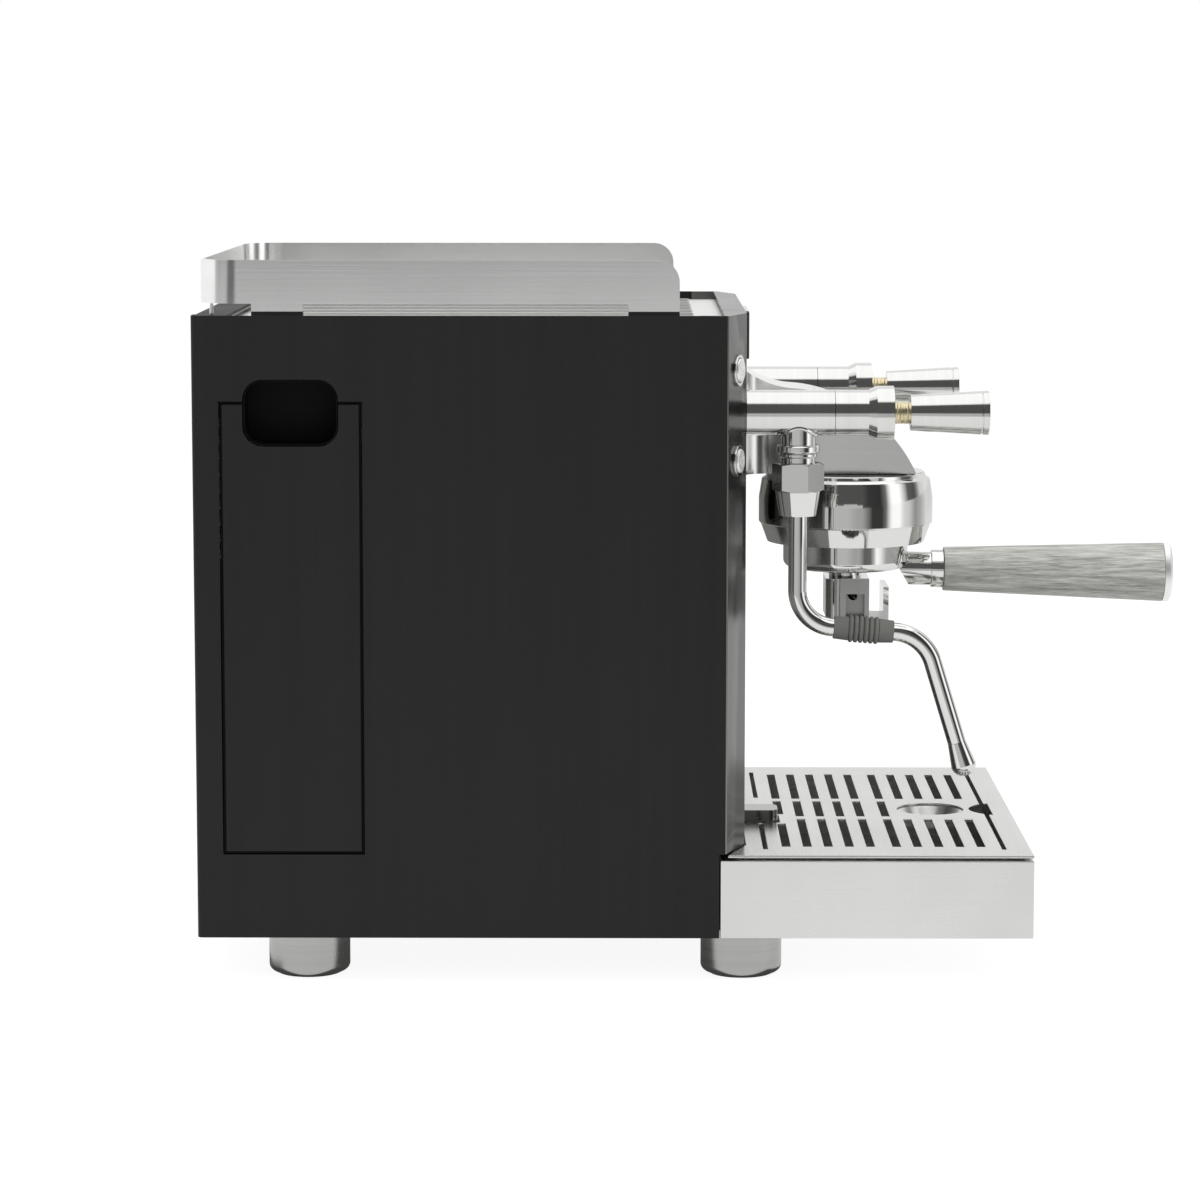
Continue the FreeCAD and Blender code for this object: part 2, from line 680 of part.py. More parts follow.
def rear_panel():
    """Rear cover behind the side folds, with vents, the inlet opening and the top flange."""
    half = INNER - FOLD_RADIUS
    sheet = box((-half, half), (-SHEET, -2 * SHEET), (0, BODY_HEIGHT))
    flange = box((-half, half), (-SHEET, -REAR_FLANGE), (BODY_HEIGHT - SHEET, BODY_HEIGHT))
    ears = box((-INNER, INNER), (-FOLD_RADIUS, -REAR_FLANGE), (BODY_HEIGHT - SHEET, BODY_HEIGHT))
    vents = []
    for row in range(VENT_COUNT):
        level = VENT_BASE + row * VENT_PITCH
        vent = rounded_box((VENT_X - VENT_LENGTH / 2, VENT_X + VENT_LENGTH / 2), (0, -3 * SHEET),
                           (level - VENT_HEIGHT / 2, level + VENT_HEIGHT / 2), Y_AXIS,
                           0.49 * VENT_HEIGHT)
        vents += both_sides(vent)
    inlet_x, inlet_z = inlet_block(SLIP)
    inlet = box(inlet_x, (0, -3 * SHEET), inlet_z)
    return joined(sheet, flange, ears).cut(vents + screw_holes() + [inlet])


def mains_inlet():
    """Recessed appliance inlet with three blades."""
    rim_x, rim_z = inlet_block(INLET_RIM)
    body_x, body_z = inlet_block(0)
    rim = box(rim_x, (0, -SHEET), rim_z)
    body = box(body_x, (-SHEET, -INLET_DEPTH), body_z)
    recess_x, recess_z = inlet_block(-INLET_WALL)
    recess = box(recess_x, (0, -INLET_SOCKET), recess_z)
    lower = [edge for edge in edges_along(recess, Y_AXIS) if edge.CenterOfMass.z < INLET_LEVEL]
    recess = recess.makeChamfer(INLET_CHAMFER, lower)
    blades = []
    for step in (-1, 0, 1):
        x = INLET_X + step * PIN_PITCH
        z = INLET_LEVEL + (PIN_HEIGHT / 2 if step == 0 else -PIN_HEIGHT / 2)
        blades.append(box((x - PIN_WIDTH / 2, x + PIN_WIDTH / 2), (-0.3 * INLET_SOCKET, -INLET_SOCKET),
                          (z - PIN_HEIGHT / 2, z + PIN_HEIGHT / 2)))
    return joined(joined(rim, body).cut(recess), *blades)


def wing_y(x, inside=0.0):
    """Y of the wing's outer face at a distance from the middle, or of a face inside it."""
    return FACE + (x - WING_START) * WING_SLOPE + inside / cos(WING_TURN)


def button_places():
    """Points on the left wing where the buttons sit, lower one first."""
    x = HALF - WING_WIDTH / 2
    return [Vec(-x, wing_y(x), level) for level in (BREW_LEVEL, POWER_LEVEL)]


WING_NORMAL = Vec(-sin(WING_TURN), -cos(WING_TURN), 0)


def front_panel():
    """Bright front sheet: a middle face, two slanted wings, side returns and a top flange."""
    fold = WING_START - SHEET * tan(WING_TURN / 2)
    back = INNER - SHEET
    half = [(WING_START, FACE), (HALF, WING_END), (HALF, -BODY_DEPTH), (INNER, -BODY_DEPTH),
            (INNER, -(BODY_DEPTH - RETURN_DEPTH)), (back, -(BODY_DEPTH - RETURN_DEPTH)),
            (back, wing_y(back, SHEET)), (fold, FACE + SHEET)]
    mirrored = [(-x, y) for x, y in reversed(half)]
    sheet = plan(half + mirrored, PANEL_FOOT, BODY_HEIGHT)
    rim = FACE + FRONT_FLANGE
    flange = plan([(fold, FACE + SHEET), (back, wing_y(back, SHEET)), (back, rim),
                   (-back, rim), (-back, wing_y(back, SHEET)), (-fold, FACE + SHEET)],
                  BODY_HEIGHT - SHEET, BODY_HEIGHT)
    through = (Vec(0, FACE - SHEET, 0), Vec(0, FACE + 2 * SHEET, 0))
    cuts = []
    for side in (-1, 1):
        shift = Vec(side * TAP_X, 0, TAP_LEVEL)
        cuts.append(rod(TAP_TAIL_RADIUS + SLIP, through[0] + shift, through[1] + shift))
    for place in button_places():
        cuts.append(rod(BARREL_RADIUS + SLIP, place + WING_NORMAL * SHEET, place - WING_NORMAL * 3 * SHEET))
    neck = NECK_HALF + SLIP
    cuts.append(box((-neck, neck), (FACE - SHEET, FACE + 2 * SHEET),
                    (BELL_TOP - SLIP, BELL_TOP + NECK_HEIGHT + SLIP)))
    drain = Vec(DRAIN_X, 0, drain_level())
    cuts.append(rod(DRAIN_TAIL + SLIP, through[0] + drain, through[1] + drain))
    return joined(sheet, flange).cut(cuts)


def top_plate():
    """Sunk cup shelf with pressed ribs, and upstands that meet the flanges."""
    rear = -(REAR_FLANGE - SHELF_LAP)
    front = FACE + FRONT_FLANGE - SHELF_LAP
    fold_end = -(BODY_DEPTH - RETURN_DEPTH) + GAP
    beside = INNER - SHEET - GAP
    corner = WING_START + (front - GAP - FACE - SHEET / cos(WING_TURN)) / WING_SLOPE
    half = [(INNER, rear), (INNER, fold_end), (beside, fold_end), (beside, wing_y(beside, SHEET) + GAP),
            (corner, front)]
    sheet = plan(half + [(-x, y) for x, y in reversed(half)], SHELF_TOP - SHEET, SHELF_TOP)
    top = BODY_HEIGHT - SHEET
    rear_stand = box((-INNER, INNER), (rear, rear - SHEET), (SHELF_TOP, top))
    front_stand = box((-corner, corner), (front, front + SHEET), (SHELF_TOP, top))
    ribs = []
    for n in range(RIB_COUNT):
        x = (n - (RIB_COUNT - 1) / 2) * RIB_PITCH
        ribs.append(rounded_box((x - RIB_WIDTH / 2, x + RIB_WIDTH / 2), (-RIB_REAR, -RIB_FRONT),
                                (SHELF_TOP, SHELF_TOP + RIB_HEIGHT), Z_AXIS, 0.45 * RIB_WIDTH))
    return joined(sheet, rear_stand, front_stand, *ribs)


def tab_starts():
    """Rear ends of the rail's tabs, as depths from the rear face."""
    return (TAB_REAR, RAIL_FRONT - TAB_LENGTH)


def cup_rail():
    """Bent band, open to the front, with tabs at the sides and thin posts at the rear."""
    outer = RAIL_WIDTH / 2
    inner = outer - RAIL_BAND
    corner = outer - RAIL_CORNER
    bend_y = -(RAIL_REAR + RAIL_CORNER)
    arc = sin(radians(45))
    small = RAIL_CORNER - RAIL_BAND
    base = RAIL_TOP - RAIL_HEIGHT

    def at(x, y):
        return Vec(x, y, base)

    def bend(side, radius):
        return at(side * (corner + radius * arc), bend_y + radius * arc)

    rear, rear_in = -RAIL_REAR, -(RAIL_REAR + RAIL_BAND)
    band = outline(
        at(-outer, -RAIL_FRONT), at(-outer, bend_y), (bend(-1, RAIL_CORNER), at(-corner, rear)),
        at(corner, rear), (bend(1, RAIL_CORNER), at(outer, bend_y)), at(outer, -RAIL_FRONT),
        at(inner, -RAIL_FRONT), at(inner, bend_y), (bend(1, small), at(corner, rear_in)),
        at(-corner, rear_in), (bend(-1, small), at(-inner, bend_y)),
        at(-inner, -RAIL_FRONT)).extrude(Z_AXIS * RAIL_HEIGHT)
    nose = [edge for edge in edges_along(band, X_AXIS)
            if edge.CenterOfMass.z > RAIL_TOP - 1 and edge.CenterOfMass.y < bend_y]
    band = band.makeFillet(RAIL_NOSE, nose)
    extras = []
    for start in tab_starts():
        tab = box((inner, outer), (-start, -(start + TAB_LENGTH)), (base - TAB_DROP, base))
        extras += both_sides(tab)
    post_turn = (RAIL_CORNER - RAIL_BAND / 2) * arc
    post = Vec(corner + post_turn, bend_y + post_turn, BODY_HEIGHT)
    extras += both_sides(rod(POST_RADIUS, post, Vec(post.x, post.y, base)))
    return joined(band, *extras)


def rail_pads():
    """Pads between the rail's tabs and the shelf."""
    outer = RAIL_WIDTH / 2
    top = RAIL_TOP - RAIL_HEIGHT - TAB_DROP
    pads = []
    for start in tab_starts():
        pad = box((outer - RAIL_PAD_WIDTH, outer), (-start, -(start + TAB_LENGTH)), (SHELF_TOP, top))
        pads += both_sides(pad)
    return Part.makeCompound(pads)


def feet():
    """Four turned feet with a stud through the base and a recess for the pad."""
    pieces = []
    end = -(FOOT_HEIGHT - PAD_PROUD)
    for place in foot_places():
        foot = rod(FOOT_RADIUS, place, place + Z_AXIS * end)
        foot = rounded_rims(foot, FOOT_EDGE, place + Z_AXIS * end)
        recess = rod(PAD_RADIUS + SNUG, place + Z_AXIS * end, place + Z_AXIS * (end + PAD_RECESS))
        stud = rod(STUD_RADIUS, place, place + Z_AXIS * SHELF_SHEET)
        pieces.append(joined(foot.cut(recess), stud))
    return Part.makeCompound(pieces)


def foot_pads():
    """Rubber discs that the machine stands on."""
    top = -(FOOT_HEIGHT - PAD_PROUD - PAD_RECESS)
    return Part.makeCompound([rod(PAD_RADIUS, place + Z_AXIS * -FOOT_HEIGHT, place + Z_AXIS * top)
                              for place in foot_places()])


def panel_screws():
    """Countersunk screws of the rear cover."""
    return Part.makeCompound([screw(0).translated(place) for place in screw_places()])


def display_plate():
    """Bare dark plate on the front panel, above the hood."""
    return rounded_box((-PLATE_WIDTH / 2, PLATE_WIDTH / 2), (FACE, FACE - PLATE_DEPTH),
                       (PLATE_BASE, PLATE_BASE + PLATE_HEIGHT), Y_AXIS, PLATE_DEPTH / 2)


# Buttons

def button_housings():
    """Bezels on the left wing, each with the barrel of its switch behind the panel."""
    pieces = []
    for place in button_places():
        bezel = rod(BEZEL_RADIUS, place, place + WING_NORMAL * BEZEL_HEIGHT)
        barrel = rod(BARREL_RADIUS, place, place - WING_NORMAL * BARREL_LENGTH)
        depth = CAP_LENGTH - CAP_PROUD + BUTTON_TRAVEL + GAP
        well = rod(CAP_RADIUS + GAP, place + WING_NORMAL * BEZEL_HEIGHT, place - WING_NORMAL * depth)
        pieces.append(joined(bezel, barrel).cut(well))
    return Part.makeCompound(pieces)


def button_cap(place):
    """Round cap with an eased rim that slides in its barrel."""
    front = place + WING_NORMAL * CAP_PROUD
    cap = rod(CAP_RADIUS, front - WING_NORMAL * CAP_LENGTH, front)
    return rounded_rims(cap, CAP_PROUD - BEZEL_HEIGHT, front)


# Tank

def tank_sides():
    """Rear and front face of the tank."""
    return -(DOOR_REAR + TANK_MARGIN), -(DOOR_REAR + DOOR_WIDTH - TANK_MARGIN)


def outlet_place():
    """Where the outlet leaves the inner end of the tank."""
    return Vec(TANK_LENGTH - INNER, sum(tank_sides()) / 2, DOOR_BASE + TANK_LIFT + OUTLET_RISE)


def water_tank():
    """Open tank with an outlet at its inner end."""
    floor = DOOR_BASE + TANK_LIFT
    rear, front = tank_sides()
    end = TANK_LENGTH - INNER
    shell = box((-INNER, end), (rear, front), (floor, floor + TANK_HEIGHT))
    room = box((-INNER + TANK_WALL, end - TANK_WALL), (rear - TANK_WALL, front + TANK_WALL),
               (floor + TANK_WALL, floor + TANK_HEIGHT))
    start = outlet_place()
    stub = rod(OUTLET_RADIUS, start, start + X_AXIS * OUTLET_LENGTH)
    bore = rod(OUTLET_BORE, start - X_AXIS * 2 * TANK_WALL, start + X_AXIS * OUTLET_LENGTH)
    return joined(shell.cut(room), stub).cut(bore)


def finger_cup():
    """Floor and back of the finger recess."""
    middle = -(DOOR_REAR + DOOR_WIDTH / 2)
    back = GRIP_CUP - INNER
    flat = GRIP_WIDTH / 2 - GRIP_CORNER
    half = GRIP_WIDTH / 2 - GRIP_CUP_GAP
    floor = box((-INNER, back), (middle - flat, middle + flat), (GRIP_BASE - SHEET, GRIP_BASE))
    wall = rounded_box((back, back + SHEET), (middle - half, middle + half),
                       (GRIP_BASE - SHEET, GRIP_BASE + GRIP_HEIGHT - GRIP_CUP_GAP), X_AXIS,
                       GRIP_CORNER - GRIP_CUP_GAP)
    return floor, wall


def tank_door():
    """Flush door on the near end of the tank, notched by the finger hole that its cup closes."""
    groove = DOOR_GROOVE
    door = box((-HALF, -INNER), (-(DOOR_REAR + groove), -(DOOR_REAR + DOOR_WIDTH - groove)),
               (DOOR_BASE + groove, DOOR_BASE + DOOR_HEIGHT - groove))
    return joined(door.cut(finger_cut()), *finger_cup())


def tank_runner():
    """Bed under the tank, with the socket of the outlet at its inner end."""
    start = outlet_place()
    rear, front = tank_sides()
    rear, front = rear - BED_INSET, front + BED_INSET
    top = DOOR_BASE + TANK_LIFT - GAP
    end = start.x + SOCKET_LENGTH + GAP
    near = -INNER + 2 * SHEET
    bed = box((near, end), (rear, front), (top - SHEET, top))
    legs = [box((near, end), (rear, rear - SHEET), (SHELF_SHEET, top)),
            box((near, end), (front, front + SHEET), (SHELF_SHEET, top))]
    socket = box((start.x + GAP, end), (start.y - SOCKET_WIDTH / 2, start.y + SOCKET_WIDTH / 2),
                 (top, top + SOCKET_RISE))
    seat = rod(OUTLET_RADIUS + GAP, start, start + X_AXIS * (OUTLET_LENGTH + GAP))
    port = Vec(end - PIPE_RADIUS - TANK_WALL, 0, start.z)
    passage = rod(PIPE_BORE, start, Vec(port.x, start.y, port.z))
    drop = rod(PIPE_BORE, Vec(port.x, start.y, port.z), Vec(port.x, start.y - SOCKET_WIDTH, port.z))
    return joined(bed, *legs, socket).cut([seat, passage, drop])


# Boiler, pump and pipes

def boiler_axis(x):
    """Point on the boiler's axis."""
    return Vec(x, -BOILER_DEPTH, BOILER_LEVEL)


def boiler_body(room=0.0):
    """Solid outer shape of the boiler, with room round it when it cuts another piece."""
    return rod(BOILER_RADIUS + room, boiler_axis(-BOILER_HALF - room), boiler_axis(BOILER_HALF))


def boiler_shell():
    """Hollow boiler with one domed end and one flanged end."""
    left = boiler_axis(-BOILER_HALF)
    body = rounded_rims(boiler_body(), BOILER_DOME, left)
    room = rod(BOILER_RADIUS - BOILER_WALL, boiler_axis(-BOILER_HALF + BOILER_DOME),
               boiler_axis(BOILER_HALF))
    flange = rod(FLANGE_RADIUS, boiler_axis(BOILER_HALF - FLANGE_SHEET), boiler_axis(BOILER_HALF))
    return joined(body, flange).cut(room)


def heating_element():
    """End plate of the boiler with a hairpin heater and two terminals."""
    plate = rod(FLANGE_RADIUS, boiler_axis(BOILER_HALF), boiler_axis(BOILER_HALF + FLANGE_SHEET))
    end = boiler_axis(BOILER_HALF - ELEMENT_LENGTH)
    pieces = []
    for side in (-1, 1):
        shift = Z_AXIS * (side * ELEMENT_SPREAD)
        pieces.append(rod(ELEMENT_RADIUS, end + shift, boiler_axis(BOILER_HALF) + shift))
        tail = boiler_axis(BOILER_HALF + FLANGE_SHEET) + shift
        pieces.append(rod(ELEMENT_RADIUS, tail, tail + X_AXIS * TERMINAL_LENGTH))
    bend = Part.makeTorus(ELEMENT_SPREAD, ELEMENT_RADIUS, end, Y_AXIS)
    reach = ELEMENT_SPREAD + ELEMENT_RADIUS + 1
    left_half = box((end.x - reach, end.x), (end.y - reach, end.y + reach), (end.z - reach, end.z + reach))
    return joined(plate, *pieces, bend.common(left_half))


def boiler_brackets():
    """Two saddles that carry the boiler on the floor."""
    saddle = box((BRACKET_X, BRACKET_X + BRACKET_SHEET),
                 (-BOILER_DEPTH - BRACKET_WIDTH / 2, -BOILER_DEPTH + BRACKET_WIDTH / 2),
                 (SHELF_SHEET, BOILER_LEVEL - BRACKET_REACH))
    return Part.makeCompound(both_sides(saddle.cut(boiler_body(SLIP))))


def safety_valve():
    """Relief valve on top of the boiler."""
    foot = Vec(SAFETY_X, -BOILER_DEPTH, BOILER_LEVEL + BOILER_RADIUS - 2 * SHEET)
    stem = rod(SAFETY_RADIUS, foot, foot + Z_AXIS * SAFETY_HEIGHT)
    nut = hexagon(3 * SAFETY_RADIUS, foot + Z_AXIS * (SAFETY_HEIGHT / 3), SAFETY_HEIGHT / 4)
    return joined(stem, nut).cut(boiler_body(SLIP))


def pump_nozzles():
    """Ends of the pump's outlet and inlet nozzles."""
    reach = PUMP_LENGTH / 2 + PUMP_NOZZLE_LENGTH
    return [Vec(PUMP_X + side * reach, -PUMP_DEPTH, PUMP_LEVEL) for side in (-1, 1)]


def vibration_pump():
    """Pump block with a nozzle at each end."""
    half = PUMP_SIDE / 2
    block = rounded_box((PUMP_X - PUMP_LENGTH / 2, PUMP_X + PUMP_LENGTH / 2),
                        (-PUMP_DEPTH - half, -PUMP_DEPTH + half),
                        (PUMP_LEVEL - half, PUMP_LEVEL + half), X_AXIS, PUMP_SIDE / 6)
    outlet, inlet = pump_nozzles()
    return joined(block, rod(PUMP_NOZZLE, outlet, inlet)).cut(rod(PIPE_BORE, outlet, inlet))


def pump_mounts():
    """Rubber blocks between the pump and the floor."""
    top = PUMP_LEVEL - PUMP_SIDE / 2
    half = PUMP_SIDE / 3
    mounts = []
    for side in (-1, 1):
        x = PUMP_X + side * MOUNT_SPREAD / 2
        mounts.append(box((x - MOUNT_WIDTH / 2, x + MOUNT_WIDTH / 2),
                          (-PUMP_DEPTH - half, -PUMP_DEPTH + half), (SHELF_SHEET, top)))
    return Part.makeCompound(mounts)


def drain_level():
    """Height of the drain block's middle."""
    return TRAY_TOP + GAP + DRAIN_HEIGHT / 2


def drain_block():
    """Polished discharge spout on the front panel, with a tail through it."""
    front = FACE - DRAIN_LENGTH
    block = box((DRAIN_X - DRAIN_WIDTH / 2, DRAIN_X + DRAIN_WIDTH / 2), (FACE, front),
                (drain_level() - DRAIN_HEIGHT / 2, drain_level() + DRAIN_HEIGHT / 2))
    corners = [edge for edge in edges_along(block, Z_AXIS) if edge.CenterOfMass.y < FACE - 1]
    start = Vec(DRAIN_X, FACE, drain_level())
    tail = rod(DRAIN_TAIL, start, start + Y_AXIS * TAIL_REACH)
    return joined(block.makeFillet(min(DRAIN_CORNER, DRAIN_WIDTH / 3), corners), tail)


def solenoid_valve():
    """Discharge valve on the bulkhead, at the end of the drain tail."""
    front = FACE + TAIL_REACH
    base = PANEL_FOOT - TRAY_SILL
    half = SOLENOID_SIDE / 2
    body = box((DRAIN_X - half, DRAIN_X + half), (front, front + SOLENOID_SIDE),
               (base, base + SOLENOID_SIDE))
    foot = Vec(DRAIN_X, front + half, base + SOLENOID_SIDE)
    return joined(body, rod(min(SOLENOID_COIL, half), foot, foot + Z_AXIS * SOLENOID_COIL_HEIGHT))


def control_box():
    """Closed box of the control board, on the floor."""
    return rounded_box((BOX_X - BOX_WIDTH / 2, BOX_X + BOX_WIDTH / 2),
                       (-BOX_CENTRE_DEPTH - BOX_DEPTH / 2, -BOX_CENTRE_DEPTH + BOX_DEPTH / 2),
                       (SHELF_SHEET, SHELF_SHEET + BOX_HEIGHT), Z_AXIS, FOLD_RADIUS)


def water_pipes():
    """Suction pipe from the tank, feed pipe to the boiler and brew pipe to the group."""
    outlet, inlet = pump_nozzles()
    start = outlet_place()
    port_x = start.x + SOCKET_LENGTH + GAP - PIPE_RADIUS - TANK_WALL
    leave = Vec(port_x, start.y - SOCKET_WIDTH / 2, start.z)
    turn = inlet.x + 2 * PIPE_BEND
    ahead = leave.y - 3 * PIPE_BEND
    suction = pipe([leave, Vec(port_x, ahead, start.z), Vec(turn, ahead - 3 * PIPE_BEND, PUMP_LEVEL),
                    Vec(turn, inlet.y, PUMP_LEVEL), inlet], [PIPE_BEND] * 3, PIPE_RADIUS, PIPE_BORE)
    away = outlet.x - 2 * PIPE_BEND
    riser = PUMP_LEVEL + PIPE_RISE
    entry = BOILER_LEVEL - BOILER_RADIUS + SHEET
    feed = pipe([outlet, Vec(away, outlet.y, PUMP_LEVEL), Vec(away, outlet.y, riser),
                 Vec(away, -BOILER_DEPTH, riser), Vec(away, -BOILER_DEPTH, entry)],
                [PIPE_BEND] * 3, PIPE_RADIUS, PIPE_BORE)
    neck_level = BELL_TOP + NECK_HEIGHT / 2
    boiler_front = -(BOILER_DEPTH + BOILER_RADIUS)
    neck_back = FACE + SHEET + NECK_FLANGE_SHEET
    third = (neck_back - boiler_front) / 3
    brew = pipe([Vec(0, boiler_front + SHEET, BOILER_LEVEL), Vec(0, boiler_front + third, BOILER_LEVEL),
                 Vec(0, neck_back - third, neck_level), Vec(0, neck_back, neck_level)],
                [PIPE_BEND] * 2, PIPE_RADIUS, PIPE_BORE)
    room = boiler_body(SLIP)
    return Part.makeCompound([suction, feed.cut(room), brew.cut(room)])


def steam_pipes():
    """Pipe from the top of the boiler to the tail of each tap."""
    tail = Vec(TAP_X, FACE + TAP_TAIL, TAP_LEVEL)
    top = Vec(TAP_X, -BOILER_DEPTH, TAP_LEVEL)
    foot = Vec(TAP_X, -BOILER_DEPTH, BOILER_LEVEL + BOILER_RADIUS - SHEET)
    run = pipe([tail, top, foot], [PIPE_BEND], PIPE_RADIUS, PIPE_BORE)
    return Part.makeCompound(both_sides(run.cut(boiler_body(SLIP))))


# Brew group

def group_bell():
    """Polished bell with the bayonet ring, the gasket seat and the water chamber inside."""
    lip = BELL_BASE + BAYONET_LIP
    lug_roof = lip + LUG_HEIGHT + 2 * LUG_ROOM
    chamber = LUG_REACH + LUG_ROOM
    mouth = PF_RADIUS + LUG_ROOM
    seat = GASKET_BASE + GASKET_HEIGHT
    roof = BELL_TOP - BELL_ROOF
    rise = BELL_TOP - BELL_SHOULDER
    spread = BELL_SHOULDER_RADIUS - BELL_TOP_RADIUS
    shoulder = (BELL_TOP_RADIUS + spread * SHOULDER_FULLNESS, BELL_SHOULDER + rise * SHOULDER_FULLNESS)
    bell = turned([
        (0, BELL_TOP), (BELL_TOP_RADIUS, BELL_TOP),
        (shoulder, (BELL_SHOULDER_RADIUS, BELL_SHOULDER)),
        (BELL_RADIUS, BELL_BELLY), (BELL_RADIUS, BELL_BELLY - BELLY_BAND), (BELL_CREASE_RADIUS, BELL_CREASE),
        (BELL_CREASE_RADIUS - BELL_STEP, BELL_CREASE), (BELL_BASE_RADIUS, BELL_BASE), (mouth, BELL_BASE),
        (mouth, lip), (chamber, lip), (chamber, lug_roof), (GASKET_RADIUS + SNUG, lug_roof),
        (GASKET_RADIUS + SNUG, seat), (GASKET_BORE, seat), (GASKET_BORE, roof), (0, roof)], GROUP)
    entries = []
    for side in (0, 180):
        wedge = lug_sector(chamber, BELL_BASE - 1, lip + 1, LUG_ANGLE + 6)
        wedge.rotate(GROUP, Z_AXIS, side - UNLOCK_ANGLE)
        entries.append(wedge)
    return bell.cut(entries)


def lug_sector(reach, base, top, angle):
    """Wedge of a ring about the group axis, pointing to the operator's right."""
    half = radians(angle / 2)
    inner = PF_RADIUS - 1

    def at(radius, turn):
        return GROUP + Vec(radius * cos(turn), radius * sin(turn), base)

    face = outline(at(inner, -half), at(reach, -half), (at(reach, 0), at(reach, half)), at(inner, half),
                   (at(inner, 0), at(inner, -half)))
    return face.extrude(Z_AXIS * (top - base))


def group_gasket():
    """Rubber ring that the portafilter closes against."""
    ring = rod(GASKET_RADIUS, GROUP + Z_AXIS * GASKET_BASE, GROUP + Z_AXIS * (GASKET_BASE + GASKET_HEIGHT))
    return ring.cut(rod(GASKET_BORE, GROUP, GROUP + Z_AXIS * BELL_TOP))


def shower_screen():
    """Shallow dish that spreads the water over the coffee, held by the gasket."""
    radius = GASKET_BORE - GAP
    inside = radius - SCREEN_SHEET
    rim = GASKET_BASE + GASKET_HEIGHT
    return turned([(0, SCREEN_BASE), (radius, SCREEN_BASE), (radius, rim), (inside, rim),
                   (inside, SCREEN_BASE + SCREEN_SHEET), (0, SCREEN_BASE + SCREEN_SHEET)], GROUP)


def hood_block(inset):
    """Solid of the hood run on to the rear and below, or its hollow when inset."""
    run_out = 2 * HOOD_COVE
    panel = -FACE

    def at(depth, level):
        return Vec(-2 * HOOD_HALF - HOOD_COVE, -depth, level)

    cove_mid = at((panel + HOOD_WAIST_DEPTH) / 2 - HOOD_COVE / 12,
                  (HOOD_TOP + HOOD_WAIST) / 2 - HOOD_COVE / 8)
    crown_mid = at(HOOD_WAIST_DEPTH + 0.634 * (HOOD_FRONT - HOOD_WAIST_DEPTH),
                   HOOD_BASE + 0.668 * (HOOD_WAIST - HOOD_BASE))
    side = outline(at(panel - run_out, HOOD_BASE - run_out), at(panel - run_out, HOOD_TOP),
                   at(panel, HOOD_TOP), (cove_mid, at(HOOD_WAIST_DEPTH, HOOD_WAIST)),
                   (crown_mid, at(HOOD_FRONT, HOOD_BASE)), at(HOOD_FRONT, HOOD_BASE - run_out))
    arc = HOOD_COVE * sin(radians(45))
    flare = HOOD_HALF + HOOD_COVE
    start = panel + HOOD_COVE

    def cove(sign):
        return Vec(sign * (flare - arc), -(start - arc), 0)

    top = outline(Vec(-flare, -panel + run_out, 0), Vec(-flare, -panel, 0),
                  (cove(-1), Vec(-HOOD_HALF, -start, 0)), Vec(-HOOD_HALF, -HOOD_FRONT, 0),
                  Vec(HOOD_HALF, -HOOD_FRONT, 0), Vec(HOOD_HALF, -start, 0),
                  (cove(1), Vec(flare, -panel, 0)), Vec(flare, -panel + run_out, 0))
    if inset:
        side = side.makeOffset2D(-inset)
        top = top.makeOffset2D(-inset)
    return side.extrude(X_AXIS * 4 * flare).common(top.extrude(Z_AXIS * 2 * BODY_HEIGHT))


def group_hood():
    """Flat-cheeked cover between the front panel and the bell, open at the rear and below."""
    reach = 2 * (HOOD_HALF + HOOD_COVE)
    kept = box((-reach, reach), (FACE, -HOOD_FRONT - 1), (HOOD_BASE, HOOD_TOP + 1))
    return hood_block(0).common(kept).cut(hood_block(HOOD_WALL))


def group_neck():
    """Neck that carries the bell, with a flange behind the front panel."""
    back = FACE + SHEET
    top = BELL_TOP + NECK_HEIGHT
    arm = box((-NECK_HALF, NECK_HALF), (back, -(GROUP_DEPTH + NECK_FRONT)), (BELL_TOP, top))
    flange = box((-NECK_FLANGE, NECK_FLANGE), (back, back + NECK_FLANGE_SHEET),
                 (BELL_TOP - NECK_HALF, top + NECK_HALF))
    middle = BELL_TOP + NECK_HEIGHT / 2
    duct = rod(PIPE_BORE, Vec(0, back + NECK_FLANGE_SHEET, middle), Vec(0, -GROUP_DEPTH, middle))
    drop = rod(PIPE_BORE, Vec(0, -GROUP_DEPTH, middle), Vec(0, -GROUP_DEPTH, BELL_TOP))
    return joined(arm, flange).cut([duct, drop])


# Portafilter

def handle_point(depth):
    """Point on the handle's axis at a depth from the rear face."""
    drop = (depth - HANDLE_START) * tan(radians(HANDLE_DROOP))
    return Vec(0, -depth, HANDLE_LEVEL - drop)


